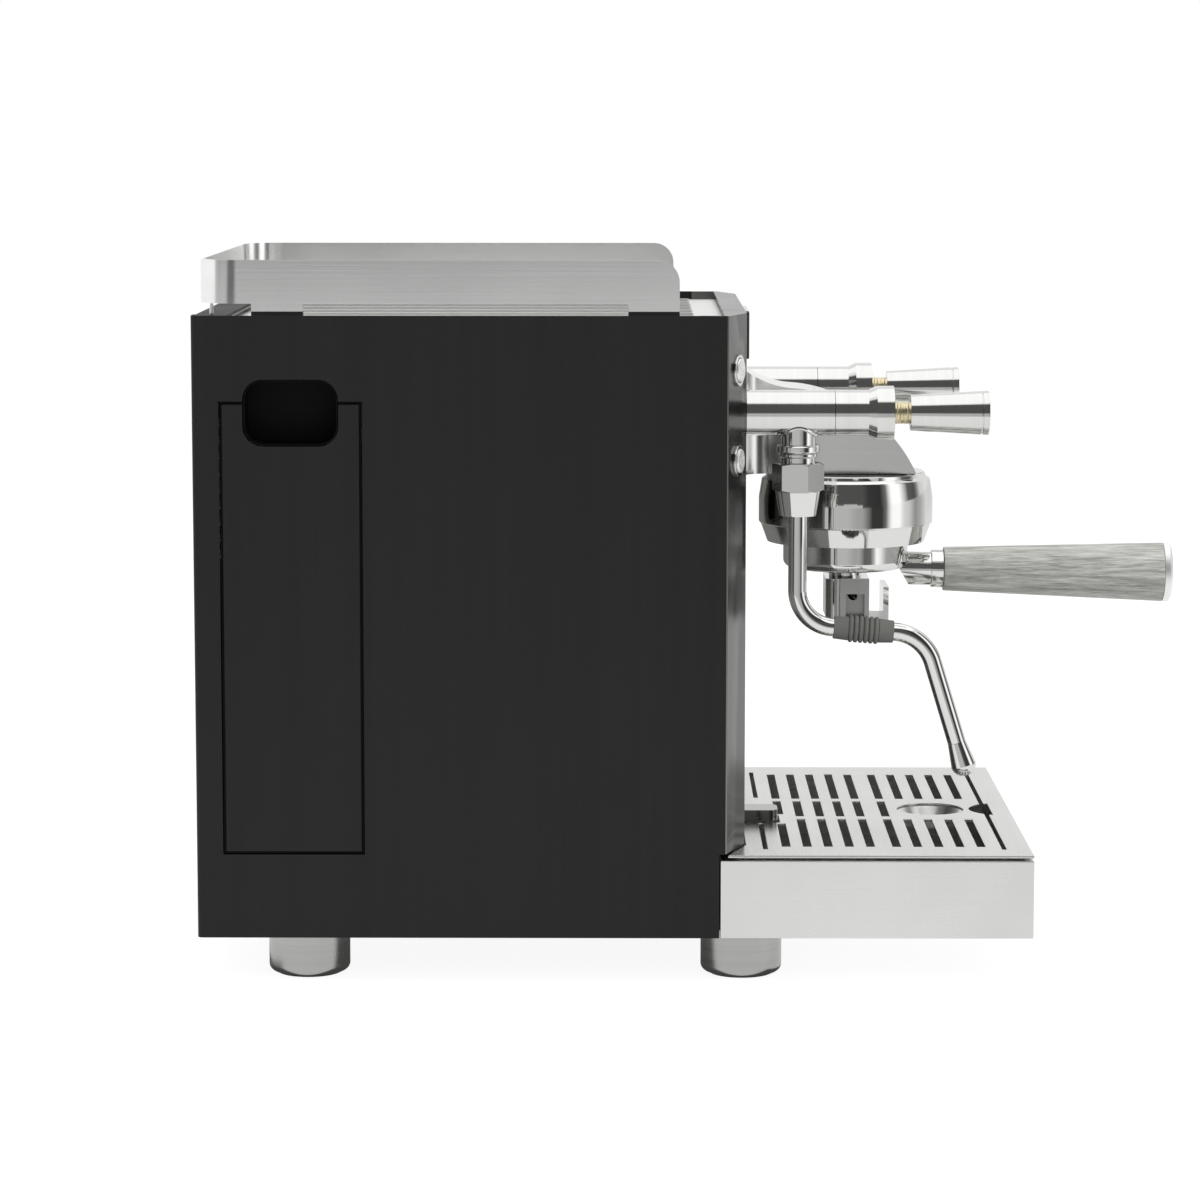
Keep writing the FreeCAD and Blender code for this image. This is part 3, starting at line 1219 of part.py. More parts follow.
def pf_body():
    """Round body with two lugs, a groove for the spring and the neck of the handle."""
    floor = PF_BASE + PF_FLOOR
    inner = PF_RADIUS - PF_WALL
    base = GROUP + Z_AXIS * PF_BASE
    cup = rounded_rims(rod(PF_RADIUS, base, GROUP + Z_AXIS * PF_TOP), PF_EDGE, base)
    lug_base = BELL_BASE + BAYONET_LIP + LUG_ROOM
    lugs = []
    for side in (0, 180):
        lug = lug_sector(LUG_REACH, lug_base, lug_base + LUG_HEIGHT, LUG_ANGLE)
        lug.rotate(GROUP, Z_AXIS, side)
        lugs.append(lug)
    neck = rod(HANDLE_NECK_RADIUS, handle_point(GROUP_DEPTH + inner - PF_WALL), handle_point(FERRULE_START))
    edge = GROUP_DEPTH + PF_RADIUS - PF_EDGE
    wide = 2 * HANDLE_NECK_RADIUS
    low = HANDLE_LEVEL - wide
    slope = outline(Vec(-wide, -(edge - wide), PF_BASE), Vec(-wide, -edge, PF_BASE),
                    Vec(-wide, -(edge + wide * 0.6), low),
                    Vec(-wide, -(edge - wide), low)).extrude(X_AXIS * 2 * wide)
    body = joined(cup, neck.cut(slope), *lugs)
    room = rod(inner, GROUP + Z_AXIS * floor, GROUP + Z_AXIS * BELL_TOP)
    groove = inner + SPRING_WIRE + SLIP
    groove_half = SPRING_WIRE + GAP
    slot = rod(groove, GROUP + Z_AXIS * (SPRING_LEVEL - groove_half),
               GROUP + Z_AXIS * (SPRING_LEVEL + groove_half))
    drain = rod(PF_DRAIN, GROUP, GROUP + Z_AXIS * PF_TOP)
    end = handle_point(FERRULE_START)
    thread = rod(BOLT_RADIUS + SNUG, end, handle_point(FERRULE_START - BOLT_GRIP - GAP))
    return body.cut([room, slot, drain, thread])


def filter_basket():
    """Thin cup with a flat rim on the body's top edge."""
    outer = PF_RADIUS - PF_WALL - BASKET_GAP
    inner = outer - BASKET_WALL
    rim = PF_TOP + BASKET_RIM
    reach = PF_RADIUS - BASKET_RIM
    floor = BASKET_BASE + BASKET_WALL
    return turned([(0, BASKET_BASE), (outer, BASKET_BASE), (outer, PF_TOP), (reach, PF_TOP), (reach, rim),
                   (inner, rim), (inner, floor), (0, floor)], GROUP)


def basket_spring():
    """Open wire ring in the body's groove that holds the basket."""
    ring = PF_RADIUS - PF_WALL - BASKET_GAP + SPRING_WIRE + SLIP
    return Part.makeTorus(ring, SPRING_WIRE, GROUP + Z_AXIS * SPRING_LEVEL, Z_AXIS, 0, 360, SPRING_ARC)


def pf_spout():
    """Casting under the body: a neck, a block with a recess at each side and an open trough."""
    half = SPOUT_HALF
    inner_rear = SPOUT_REAR + SPOUT_REAR_WALL
    floor = SPOUT_BASE + SPOUT_FLOOR
    slab = box((-half, half), (-SPOUT_REAR, -inner_rear), (SPOUT_BASE, SPOUT_TOP))
    heel = [edge for edge in edges_along(slab, X_AXIS)
            if edge.CenterOfMass.y > -SPOUT_REAR - 0.1 and edge.CenterOfMass.z < SPOUT_BASE + 0.1]
    slab = slab.makeFillet(min(SPOUT_HEEL, SPOUT_REAR_WALL / 2), heel)
    slab = slab.common(rounded_box((-half, half), (-SPOUT_REAR, -inner_rear), (SPOUT_BASE, SPOUT_TOP), Z_AXIS,
                                   SPOUT_REAR_WALL / 2.2))
    block_half = half - SPOUT_SETBACK
    block = box((-block_half, block_half), (-inner_rear + SPOUT_REAR_WALL / 2, -SPOUT_BLOCK_FRONT),
                (SPOUT_BASE, SPOUT_TOP))
    trough = box((-half, half), (-inner_rear + SPOUT_REAR_WALL / 2, -SPOUT_FRONT), (SPOUT_BASE, floor))
    lip = box((-half, half), (-SPOUT_FRONT, -SPOUT_FRONT + SPOUT_LIP_WALL), (SPOUT_BASE, SPOUT_LIP))
    neck = rod(SPOUT_NECK_RADIUS, GROUP + Z_AXIS * (SPOUT_TOP - 1), GROUP + Z_AXIS * PF_BASE)
    middle = (inner_rear + SPOUT_BLOCK_FRONT) / 2
    window_half = (SPOUT_BLOCK_FRONT - inner_rear) / 3
    recess = box((block_half - SPOUT_RECESS, half + 1), (-middle - window_half, -middle + window_half),
                 (floor, SPOUT_TOP - SPOUT_REAR_WALL))
    roof = SPOUT_TOP - SPOUT_REAR_WALL
    ducts = [rod(SPOUT_DUCT, GROUP + Z_AXIS * (roof + DUCT_FLOOR), GROUP + Z_AXIS * PF_BASE)]
    for side in (-1, 1):
        mouth = Vec(side * (block_half - SPOUT_RECESS / 2), -middle, roof - DUCT_FALL)
        ducts.append(rod(SPOUT_DUCT / 2, GROUP + Z_AXIS * (roof + DUCT_RISE), mouth))
    return joined(slab, block, trough, lip, neck).cut(both_sides(recess) + ducts)


def pf_ferrule():
    """Steel ring between the neck and the grip."""
    ring = rod(FERRULE_RADIUS, handle_point(FERRULE_START), handle_point(GRIP_START))
    return ring.cut(rod(BOLT_RADIUS + SNUG, handle_point(FERRULE_START - 1), handle_point(GRIP_START + 1)))


def pf_grip():
    """Tapered wooden grip with a bore for the long bolt."""
    grip = taper(GRIP_NEAR_RADIUS, GRIP_FAR_RADIUS, handle_point(GRIP_START), handle_point(GRIP_END))
    return grip.cut(rod(BOLT_RADIUS + SNUG, handle_point(GRIP_START - 1), handle_point(GRIP_END + 1)))


def pf_end_cap():
    """Steel end cap with the long bolt that holds the grip to the neck."""
    cap = rod(GRIP_FAR_RADIUS, handle_point(GRIP_END), handle_point(HANDLE_END))
    cap = rounded_rims(cap, 0.4 * (HANDLE_END - GRIP_END), handle_point(HANDLE_END))
    return joined(cap, rod(BOLT_RADIUS, handle_point(FERRULE_START - BOLT_GRIP), handle_point(GRIP_END)))


# Taps, wand and spout

def tap_point(side, depth):
    """Point on the axis of a tap at a depth from the rear face."""
    return Vec(side * TAP_X, -depth, TAP_LEVEL)


def valve_body(side):
    """Barrel on the front panel with a tail behind it and a threaded outlet below."""
    barrel = rod(TAP_RADIUS, tap_point(side, -FACE), tap_point(side, TAP_SEAM))
    end = tap_point(side, -FACE - TAP_TAIL)
    tail = rod(TAP_TAIL_RADIUS, end, tap_point(side, -FACE))
    centre = tap_point(side, WAND_DEPTH)
    foot = Vec(centre.x, centre.y, NUT_TOP - NUT_THREAD)
    collar_base = Vec(centre.x, centre.y, BOSS_COLLAR_BASE)
    boss = rod(BOSS_RADIUS, foot, centre)
    collar = rod(BOSS_COLLAR_RADIUS, collar_base, collar_base + Z_AXIS * BOSS_COLLAR_HEIGHT)
    chamber = rod(VALVE_BORE, tap_point(side, TAP_SEAM - VALVE_BORE_DEPTH), tap_point(side, TAP_SEAM))
    passage = rod(PIPE_BORE, end, tap_point(side, TAP_SEAM))
    outlet = rod(TUBE_BORE, foot, centre)
    return joined(barrel, tail, boss, collar).cut([chamber, passage, outlet])


def tap_bonnet(side):
    """Guide of the spindle, with a cone and a collar at its front."""
    barrel = rod(TAP_RADIUS, tap_point(side, TAP_SEAM), tap_point(side, TAP_CONE))
    cone = taper(TAP_RADIUS, TAP_COLLAR_RADIUS, tap_point(side, TAP_CONE), tap_point(side, TAP_COLLAR))
    collar = rod(TAP_COLLAR_RADIUS, tap_point(side, TAP_COLLAR), tap_point(side, TAP_END))
    collar = rounded_rims(collar, KNOB_EDGE, tap_point(side, TAP_END))
    guide = rod(STEM_RADIUS + RUN, tap_point(side, TAP_SEAM - 1), tap_point(side, TAP_END + 1))
    return joined(barrel, cone, collar).cut(guide)


def plunger_front():
    """Depth of the closed plunger's front face."""
    return TAP_SEAM - VALVE_BORE_DEPTH + GAP + PLUNGER_LENGTH


def tap_plunger(side):
    """Plunger that slides in the valve's bore."""
    front = plunger_front()
    return rod(VALVE_BORE - RUN, tap_point(side, front - PLUNGER_LENGTH), tap_point(side, front))


def tap_spindle(side):
    """Spindle from the plunger to the knob."""
    end = tap_point(side, KNOB_BACK + KNOB_SOCKET)
    return rod(STEM_RADIUS, tap_point(side, plunger_front() + GAP), end)


def tap_knob(side):
    """Tapered knob with a fine groove near its front."""
    back, front = tap_point(side, KNOB_BACK), tap_point(side, KNOB_FRONT)
    knob = rounded_rims(taper(KNOB_BACK_RADIUS, KNOB_FRONT_RADIUS, back, front), KNOB_EDGE, front)
    start = tap_point(side, KNOB_GROOVE)
    ring = rod(KNOB_FRONT_RADIUS + 1, start, tap_point(side, KNOB_GROOVE + KNOB_GROOVE_WIDTH))
    core = rod(KNOB_FRONT_RADIUS - KNOB_GROOVE_WIDTH, start + Y_AXIS, front)
    socket = rod(STEM_RADIUS + SNUG, back + Y_AXIS, tap_point(side, KNOB_BACK + KNOB_SOCKET))
    return knob.cut([ring.cut(core), socket])


def nut_blank(side, height):
    """Hexagon on the outlet's thread, below the collar."""
    foot = Vec(side * TAP_X, -WAND_DEPTH, NUT_TOP - height)
    socket = rod(BOSS_RADIUS + SNUG, foot + Z_AXIS * (height - NUT_THREAD), foot + Z_AXIS * height)
    return hexagon(NUT_ACROSS_FLATS, foot, height), foot, socket


def wand_nut():
    """Nut that holds the wand's ball, with a skirt below the hexagon."""
    body, foot, socket = nut_blank(-1, NUT_TOP - NUT_BASE)
    end = Vec(foot.x, foot.y, SKIRT_END)
    skirt = taper(SKIRT_RADIUS, SKIRT_END_RADIUS, foot, end)
    seat = BALL_LEVEL - BALL_RADIUS - GAP
    chamber = rod(BALL_RADIUS + GAP, Vec(foot.x, foot.y, seat), Vec(foot.x, foot.y, NUT_TOP - NUT_THREAD))
    mouth = rod(TUBE_RADIUS + 2 * GAP, end, Vec(foot.x, foot.y, BALL_LEVEL))
    return joined(body, skirt).cut([socket, chamber, mouth])


def wand_points():
    """Corner points of the wand, from the ball to the end of the tube."""
    places = ((WAND_DEPTH, BALL_LEVEL), (WAND_DEPTH, WAND_ELBOW_LEVEL), (WAND_KNEE_DEPTH, WAND_KNEE_LEVEL),
              (WAND_END_DEPTH, WAND_END_LEVEL))
    return [Vec(-TAP_X, -depth, level) for depth, level in places]


def wand_tube():
    """Twice-bent steam tube with a ball at its upper end."""
    points = wand_points()
    tube = pipe(points, [WAND_ELBOW_BEND, WAND_KNEE_BEND], TUBE_RADIUS, TUBE_BORE)
    ball = Part.makeSphere(BALL_RADIUS, points[0])
    bore = rod(TUBE_BORE, points[0] - Z_AXIS * 2 * BALL_RADIUS, points[0] + Z_AXIS * 2 * BALL_RADIUS)
    return joined(tube, ball.cut(bore))


def wand_grip():
    """Ribbed rubber sleeve on the level part of the wand."""
    ball, elbow, knee, end = wand_points()
    run = knee - elbow
    near = bend_reach(ball, elbow, knee, WAND_ELBOW_BEND) + SLEEVE_CLEAR
    far = bend_reach(elbow, knee, end, WAND_KNEE_BEND) + SLEEVE_CLEAR
    length = run.Length - near - far
    axis = run.normalize()
    start = elbow + axis * near
    profile = [(TUBE_RADIUS + SNUG, 0), (SLEEVE_RADIUS, 0)]
    first = (length - (SLEEVE_RIBS - 1) * SLEEVE_RIB_PITCH) / 2
    for n in range(SLEEVE_RIBS):
        middle = first + n * SLEEVE_RIB_PITCH
        half = SLEEVE_RIB_PITCH * 0.3
        profile += [(SLEEVE_RADIUS, middle - half), (SLEEVE_RIB_RADIUS, middle - half),
                    (SLEEVE_RIB_RADIUS, middle + half), (SLEEVE_RADIUS, middle + half)]
    profile += [(SLEEVE_RADIUS, length), (TUBE_RADIUS + SNUG, length)]
    return turned(profile, start, axis)


def wand_tip():
    """Flared steam tip with a rounded end and one hole."""
    knee, end = wand_points()[2:4]
    axis = (end - knee).normalize()
    nose = TIP_LENGTH - TIP_FLARE
    return turned([(TUBE_RADIUS, 0), (TIP_RADIUS, TIP_FLARE),
                   ((TIP_RADIUS * 0.8, TIP_FLARE + nose * 0.6), (TIP_HOLE, TIP_LENGTH)),
                   (TIP_HOLE, TIP_FLARE - nose), (TUBE_BORE, 0)], end, axis)


def water_spout():
    """Short hot-water spout on the other tap."""
    body, foot, socket = nut_blank(1, SPOUT_NUT_HEIGHT)
    end = Vec(foot.x, foot.y, SPOUT_TUBE_END)
    tube = rod(SPOUT_TUBE_RADIUS, end, foot)
    nose = rod(SPOUT_NOSE_RADIUS, end, end + Z_AXIS * SPOUT_NOSE_HEIGHT)
    nose = rounded_rims(nose, KNOB_EDGE, end)
    bore = rod(SPOUT_BORE, end - Z_AXIS, foot + Z_AXIS * SPOUT_NUT_HEIGHT)
    return joined(body, tube, nose).cut([socket, bore])


# Drip tray

def drip_tray():
    """Open tray with an inward rim and skirts that hide the shelf."""
    floor = SHELF_SHEET + GAP
    shell = box((-HALF, HALF), (-TRAY_BACK, -TRAY_FRONT), (0, TRAY_EDGE))
    inside = box((-INNER, INNER), (-TRAY_BACK - SHEET, -TRAY_FRONT + SHEET),
                 (floor + SHEET, TRAY_EDGE - SHEET))
    mouth = box((-HALF + TRAY_RIM, HALF - TRAY_RIM), (-TRAY_BACK - TRAY_RIM, -TRAY_FRONT + TRAY_RIM),
                (TRAY_EDGE - 2 * SHEET, TRAY_EDGE))
    below = box((-INNER, INNER), (-TRAY_BACK, -TRAY_FRONT + SHEET), (0, floor))
    return shell.cut([inside, mouth, below])


def cover_plan(inset):
    """Plan of the cover, inset from its edge, at the level of its lower face."""
    rear = FACE - TRAY_SILL
    half = [(HALF, -TRAY_FRONT), (HALF, WING_END - TRAY_SILL), (WING_START, rear)]
    points = half + [(-x, y) for x, y in reversed(half)]
    face = outline(*[Vec(x, y, COVER_BASE) for x, y in points])
    return face.makeOffset2D(-inset) if inset else face


def cover_slot(middle, width, start, end):
    """Cut between two distances across the machine at one depth."""
    return box((start, end), (-middle - width / 2, -middle + width / 2), (COVER_BASE - SHEET, TRAY_TOP))


def cover_slots():
    """All slots of the cover: two halves of columns and the fine slits at the front and rear."""
    slots = []
    for half_start in (SLOT_FIRST, SLOT_SECOND):
        for n in range(SLOT_COLUMNS):
            middle = half_start + n * SLOT_PITCH
            slots += both_sides(cover_slot(middle, SLOT_WIDTH, SIDE_SLOT_START, SIDE_SLOT_END))
            if middle + SLOT_WIDTH < DRAIN_HOLE_DEPTH - DRAIN_HOLE_RADIUS - DISH_RIM:
                half = MIDDLE_SLOT_LENGTH / 2
                slots.append(cover_slot(middle, SLOT_WIDTH, -half, half))
    slots += both_sides(cover_slot(REAR_SLIT, SLIT_WIDTH, REAR_SLIT_START, SLIT_END))
    slots.append(cover_slot(FRONT_SLIT, SLIT_WIDTH, -SLIT_END, SLIT_END))
    return slots


def tray_cover():
    """Slotted cover with a lip on the tray's rim, notched round the drain block."""
    plate = cover_plan(0).extrude(Z_AXIS * COVER_SHEET)
    drop = Z_AXIS * (TRAY_EDGE + SLIP - COVER_BASE)
    lip = cover_plan(LIP_INSET).extrude(drop).cut(cover_plan(LIP_INSET + 2 * SHEET).extrude(drop))
    reach = DRAIN_WIDTH / 2 + DRAIN_ROOM
    end = FACE - DRAIN_LENGTH - DRAIN_ROOM
    notch = box((DRAIN_X - reach, DRAIN_X + reach), (FACE + 1, end), (TRAY_EDGE, TRAY_TOP))
    web = 2 * SHEET
    kept = box((DRAIN_X - reach - web, DRAIN_X + reach + web), (FACE, end - web),
               (TRAY_EDGE - SHEET, TRAY_TOP))
    slots = [slot.cut(kept) for slot in cover_slots()]
    drain = Vec(0, -DRAIN_HOLE_DEPTH, TRAY_EDGE)
    hole = rod(DRAIN_HOLE_RADIUS, drain, drain + Z_AXIS * (TRAY_TOP - TRAY_EDGE))
    flat = -(FRONT_SLIT + SLIT_WIDTH * 1.5)
    finger = outline(Vec(-NOTCH_RADIUS, flat, TRAY_EDGE),
                     (Vec(0, -(FRONT_SLIT - NOTCH_LENGTH), TRAY_EDGE), Vec(NOTCH_RADIUS, flat, TRAY_EDGE)))
    return joined(plate, lip).cut(slots + [notch, hole, finger.extrude(Z_AXIS * (TRAY_TOP - TRAY_EDGE))])


def drain_cup():
    """Shallow dish below the round hole of the cover, with an outlet in its middle."""
    rim = DRAIN_HOLE_RADIUS + DISH_RIM
    under = COVER_BASE - DISH_SHEET
    floor = under - DISH_DEPTH
    inner = DRAIN_HOLE_RADIUS - DISH_RIM
    upper = floor + DISH_SHEET
    return turned([(DISH_OUTLET, floor), (inner, floor), (DRAIN_HOLE_RADIUS + DISH_SHEET, under),
                   (rim, under), (rim, COVER_BASE), (DRAIN_HOLE_RADIUS, COVER_BASE),
                   (inner - DISH_SHEET, upper), (DISH_OUTLET, upper)], Vec(0, -DRAIN_HOLE_DEPTH, 0))


def all_pieces():
    """Every piece of the machine by its name."""
    brew_place, power_place = button_places()
    pieces = {
        "base_plate": base_plate(),
        "left_side_panel": left_side_panel(),
        "right_side_panel": plain_side_panel(),
        "rear_panel": rear_panel(),
        "front_panel": front_panel(),
        "top_plate": top_plate(),
        "cup_rail": cup_rail(),
        "rail_pads": rail_pads(),
        "feet": feet(),
        "foot_pads": foot_pads(),
        "panel_screws": panel_screws(),
        "display_plate": display_plate(),
        "mains_inlet": mains_inlet(),
        "button_housings": button_housings(),
        "power_button": button_cap(power_place),
        "brew_button": button_cap(brew_place),
        "water_tank": water_tank(),
        "tank_door": tank_door(),
        "tank_runner": tank_runner(),
        "boiler_shell": boiler_shell(),
        "heating_element": heating_element(),
        "boiler_brackets": boiler_brackets(),
        "safety_valve": safety_valve(),
        "vibration_pump": vibration_pump(),
        "pump_mounts": pump_mounts(),
        "solenoid_valve": solenoid_valve(),
        "control_box": control_box(),
        "water_pipes": water_pipes(),
        "steam_pipes": steam_pipes(),
        "drain_block": drain_block(),
        "group_neck": group_neck(),
        "group_hood": group_hood(),
        "group_bell": group_bell(),
        "group_gasket": group_gasket(),
        "shower_screen": shower_screen(),
        "pf_body": pf_body(),
        "filter_basket": filter_basket(),
        "basket_spring": basket_spring(),
        "pf_spout": pf_spout(),
        "pf_ferrule": pf_ferrule(),
        "pf_grip": pf_grip(),
        "pf_end_cap": pf_end_cap(),
        "wand_nut": wand_nut(),
        "wand_tube": wand_tube(),
        "wand_grip": wand_grip(),
        "wand_tip": wand_tip(),
        "water_spout": water_spout(),
        "drip_tray": drip_tray(),
        "tray_cover": tray_cover(),
        "drain_cup": drain_cup(),
    }
    for name, side in (("steam", -1), ("water", 1)):
        pieces[name + "_valve_body"] = valve_body(side)
        pieces[name + "_bonnet"] = tap_bonnet(side)
        pieces[name + "_plunger"] = tap_plunger(side)
        pieces[name + "_spindle"] = tap_spindle(side)
        pieces[name + "_knob"] = tap_knob(side)
    return pieces


os.makedirs("parts", exist_ok=True)
for node, shape in all_pieces().items():
    shape.translated(PLACE).exportStep("parts/" + node + ".step")
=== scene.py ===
"""Dressing of an espresso machine: finishes, fine parts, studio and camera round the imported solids.

Lengths in the classes are millimetres in the body frame: the rear face lies at Y = 0, the lower edge
of the side panels at Z = 0, and the front faces -Y. The function at() takes a point from there to the
row frame in metres.
"""

import logging
from dataclasses import dataclass
from enum import Enum
from math import copysign, cos, pi, radians, sin, tan

import bmesh
import bpy
from mathutils import Matrix, Vector


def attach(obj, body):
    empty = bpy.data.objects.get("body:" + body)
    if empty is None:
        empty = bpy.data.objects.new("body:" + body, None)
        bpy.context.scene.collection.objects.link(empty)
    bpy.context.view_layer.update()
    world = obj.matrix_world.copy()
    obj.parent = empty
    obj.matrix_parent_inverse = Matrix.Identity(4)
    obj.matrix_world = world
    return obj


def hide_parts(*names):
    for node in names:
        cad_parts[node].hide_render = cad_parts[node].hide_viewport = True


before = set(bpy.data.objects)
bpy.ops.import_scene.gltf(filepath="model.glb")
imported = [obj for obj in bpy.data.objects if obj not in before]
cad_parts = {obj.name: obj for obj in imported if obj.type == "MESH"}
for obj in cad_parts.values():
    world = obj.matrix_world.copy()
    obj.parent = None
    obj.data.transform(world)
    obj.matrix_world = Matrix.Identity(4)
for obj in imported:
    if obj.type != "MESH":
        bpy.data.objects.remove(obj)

LOG = logging.getLogger("espresso_machine")
MM = 0.001
SHIFT = Vector((0.0, 262.8, 24.0))
UP, FRONT = Vector((0, 0, 1)), Vector((0, -1, 0))
WHITE = (1.0, 1.0, 1.0, 1.0)
FOLD_SHARP, TURN_SHARP, BEVEL_SHARP = 35.0, 28.0, 32.0
ROUND_SHARE, SHORT_SHARE = 0.293, 0.42
SMOOTH_TURN, FLAT_TURN = 14.0, 0.2
TINY, WELD, FINE_WELD = 1e-6, 2e-6, 1e-7

Pair = tuple[float, float]
Triple = tuple[float, float, float]
Color = Point = Triple
Box = tuple[Point, Point]
Profile = list[Pair]
Obj, Material, Socket = bpy.types.Object, bpy.types.Material, bpy.types.NodeSocket


def at(x: float, y: float, z: float) -> Vector:
    """Point of the body frame, in millimetres, as a point of the row frame in metres."""
    return (Vector((x, y, z)) + SHIFT) * MM


class Brush(Enum):
    """Direction of the fine lines on worked metal, as noise stretch along X, Y and Z."""

    LEVEL_Y = (900.0, 7.0, 900.0)
    LEVEL_X = (7.0, 900.0, 900.0)
    UPRIGHT = (900.0, 900.0, 7.0)
    RINGS_ON_Y = (3.0, 1400.0, 3.0)
    RINGS_ON_Z = (3.0, 3.0, 1400.0)
    NONE = (140.0, 140.0, 140.0)


class Body(Enum):
    """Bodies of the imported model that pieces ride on."""

    MACHINE = "machine"
    TANK = "tank"
    POWER_CAP = "power_cap"
    BREW_CAP = "brew_cap"
    PORTAFILTER = "portafilter"
    STEAM_TAP = "steam_tap"
    WATER_TAP = "water_tap"
    WAND = "steam_wand"
    TRAY = "tray"
    COVER = "cover"


class Graph:
    """Small helper that adds and joins nodes of one tree."""

    def __init__(self, tree: bpy.types.NodeTree) -> None:
        """Keep the tree that the nodes go into."""
        self.tree = tree

    def put(self, socket: Socket, value: object) -> None:
        """Give an input a value, or join another node's output to it."""
        if isinstance(value, Socket):
            self.tree.links.new(value, socket)
        else:
            socket.default_value = value

    def add(self, kind: str, values: dict | None = None, **settings) -> bpy.types.Node:
        """Add a node.

        Args:
            kind: Node type.
            values: Socket name or index to a value, or to another node's output to join.
            settings: Attributes of the node.

        Returns:
            The new node.
        """
        node = self.tree.nodes.new(kind)
        for key, value in settings.items():
            setattr(node, key, value)
        for key, value in (values or {}).items():
            self.put(node.inputs[key], value)
        return node

    def out(self, kind: str, values: dict | None = None, **settings) -> Socket:
        """Add a node as add() does, and give its first output."""
        return self.add(kind, values, **settings).outputs[0]

    def math(self, operation: str, *values: float | Socket, clamp: bool = False) -> Socket:
        """Result of one calculation on numbers or sockets."""
        return self.out("ShaderNodeMath", dict(enumerate(values)), operation=operation, use_clamp=clamp)

    def noise(self, vector: Socket, scale: float | Socket, detail: float, **more: float) -> Socket:
        """Noise at a scale and a detail; more takes further inputs of the node."""
        return self.out("ShaderNodeTexNoise", {"Vector": vector, "Scale": scale, "Detail": detail, **more})

    def between(self, share: Socket, low: float, high: float) -> Socket:
        """Number between two others, at a share of 0 to 1."""
        return self.out("ShaderNodeMapRange", {0: share, 3: low, 4: high})

    def blend(self, share: Socket, low: tuple, high: tuple) -> Socket:
        """Colour between two others, at a share of 0 to 1."""
        return self.add("ShaderNodeMix", {0: share, 6: low, 7: high}, data_type="RGBA").outputs[2]


def shader_group(name: str, inputs: dict[str, float], outputs: list[str]) -> tuple[Graph, dict, dict]:
    """Start a shader node group with a Vector input and number inputs.

    Args:
        name: Name of the group.
        inputs: Number inputs with their default values.
        outputs: Names of the number outputs.

    Returns:
        The graph, the input sockets by name and the output sockets by name.
    """
    tree = bpy.data.node_groups.new(name, "ShaderNodeTree")
    face = tree.interface
    face.new_socket("Vector", in_out="INPUT", socket_type="NodeSocketVector")
    for key, value in inputs.items():
        face.new_socket(key, in_out="INPUT", socket_type="NodeSocketFloat").default_value = value
    for key in outputs:
        face.new_socket(key, in_out="OUTPUT", socket_type="NodeSocketFloat")
    graph = Graph(tree)
    start, end = graph.add("NodeGroupInput"), graph.add("NodeGroupOutput")
    return graph, {s.name: s for s in start.outputs if s.name}, {s.name: s for s in end.inputs if s.name}


def brush_lines_group() -> bpy.types.NodeTree:
    """Fine lines of brushed, rolled or turned metal, from coordinates stretched along them."""
    graph, given, out = shader_group("Brush Lines", {"Fineness": 1.0, "Contrast": 1.0}, ["Tone", "Height"])
    fine = graph.noise(given["Vector"], given["Fineness"], 5.0, Roughness=0.62)
    bands = graph.noise(given["Vector"], graph.math("MULTIPLY", given["Fineness"], 0.13), 2.0)
    centred = graph.math("SUBTRACT", graph.math("ADD", fine, bands), 1.0)
    graph.put(out["Tone"], graph.math("MULTIPLY_ADD", centred, given["Contrast"], 0.5, clamp=True))
    graph.put(out["Height"], fine)
    return graph.tree


def handling_group() -> bpy.types.NodeTree:
    """Soft uneven patches that handling and wiping leave on a surface."""
    graph, given, out = shader_group("Handling", {"Size": 18.0, "Amount": 1.0}, ["Patch", "Speck"])
    patch = graph.noise(given["Vector"], given["Size"], 3.0)
    amount = graph.out("ShaderNodeMapRange", {0: patch, 1: 0.35, 2: 0.7, 3: 0.0, 4: given["Amount"]})
    graph.put(out["Patch"], amount)
    graph.put(out["Speck"], graph.noise(given["Vector"], graph.math("MULTIPLY", given["Size"], 60.0), 2.0))
    return graph.tree


BRUSH_LINES = brush_lines_group()
HANDLING = handling_group()


class Surface:
    """A material with its graph, its shader node and the Object coordinates."""

    def __init__(self, name: str) -> None:
        """Start the material under a name."""
        self.material = bpy.data.materials.new("finish_" + name)
        self.material.use_nodes = True
        self.graph = Graph(self.material.node_tree)
        self.shader = self.graph.tree.nodes["Principled BSDF"]
        self.place = self.graph.add("ShaderNodeTexCoord").outputs["Object"]

    def stretched(self, scale: Triple) -> Socket:
        """Object coordinates stretched along the axes."""
        return self.graph.out("ShaderNodeMapping", {"Vector": self.place, "Scale": scale})

    def lines(self, brush: Brush) -> bpy.types.Node:
        """Shared effect of fine lines along a direction."""
        vector = self.stretched(brush.value)
        return self.graph.add("ShaderNodeGroup", {"Vector": vector}, node_tree=BRUSH_LINES)

    def handling(self) -> bpy.types.Node:
        """Shared effect of soft patches."""
        return self.graph.add("ShaderNodeGroup", {"Vector": self.place}, node_tree=HANDLING)

    def tinge(self, share: Socket, color: Color, contrast: float) -> Socket:
        """Colour that a share makes darker or lighter by a contrast."""
        low, high = [(*[min(1.0, part * (1 + side * contrast)) for part in color], 1.0) for side in (-1, 1)]
        return self.graph.blend(share, low, high)

    def bump(self, strength: float, distance: float, height: Socket) -> Socket:
        """Normal that follows a height."""
        values = {"Strength": strength, "Distance": distance, "Height": height}
        return self.graph.out("ShaderNodeBump", values)

    def finish(self, inputs: dict[str, object]) -> Material:
        """Set or join inputs of the shader, and give the material."""
        for key, value in inputs.items():
            self.graph.put(self.shader.inputs[key], value)
        return self.material


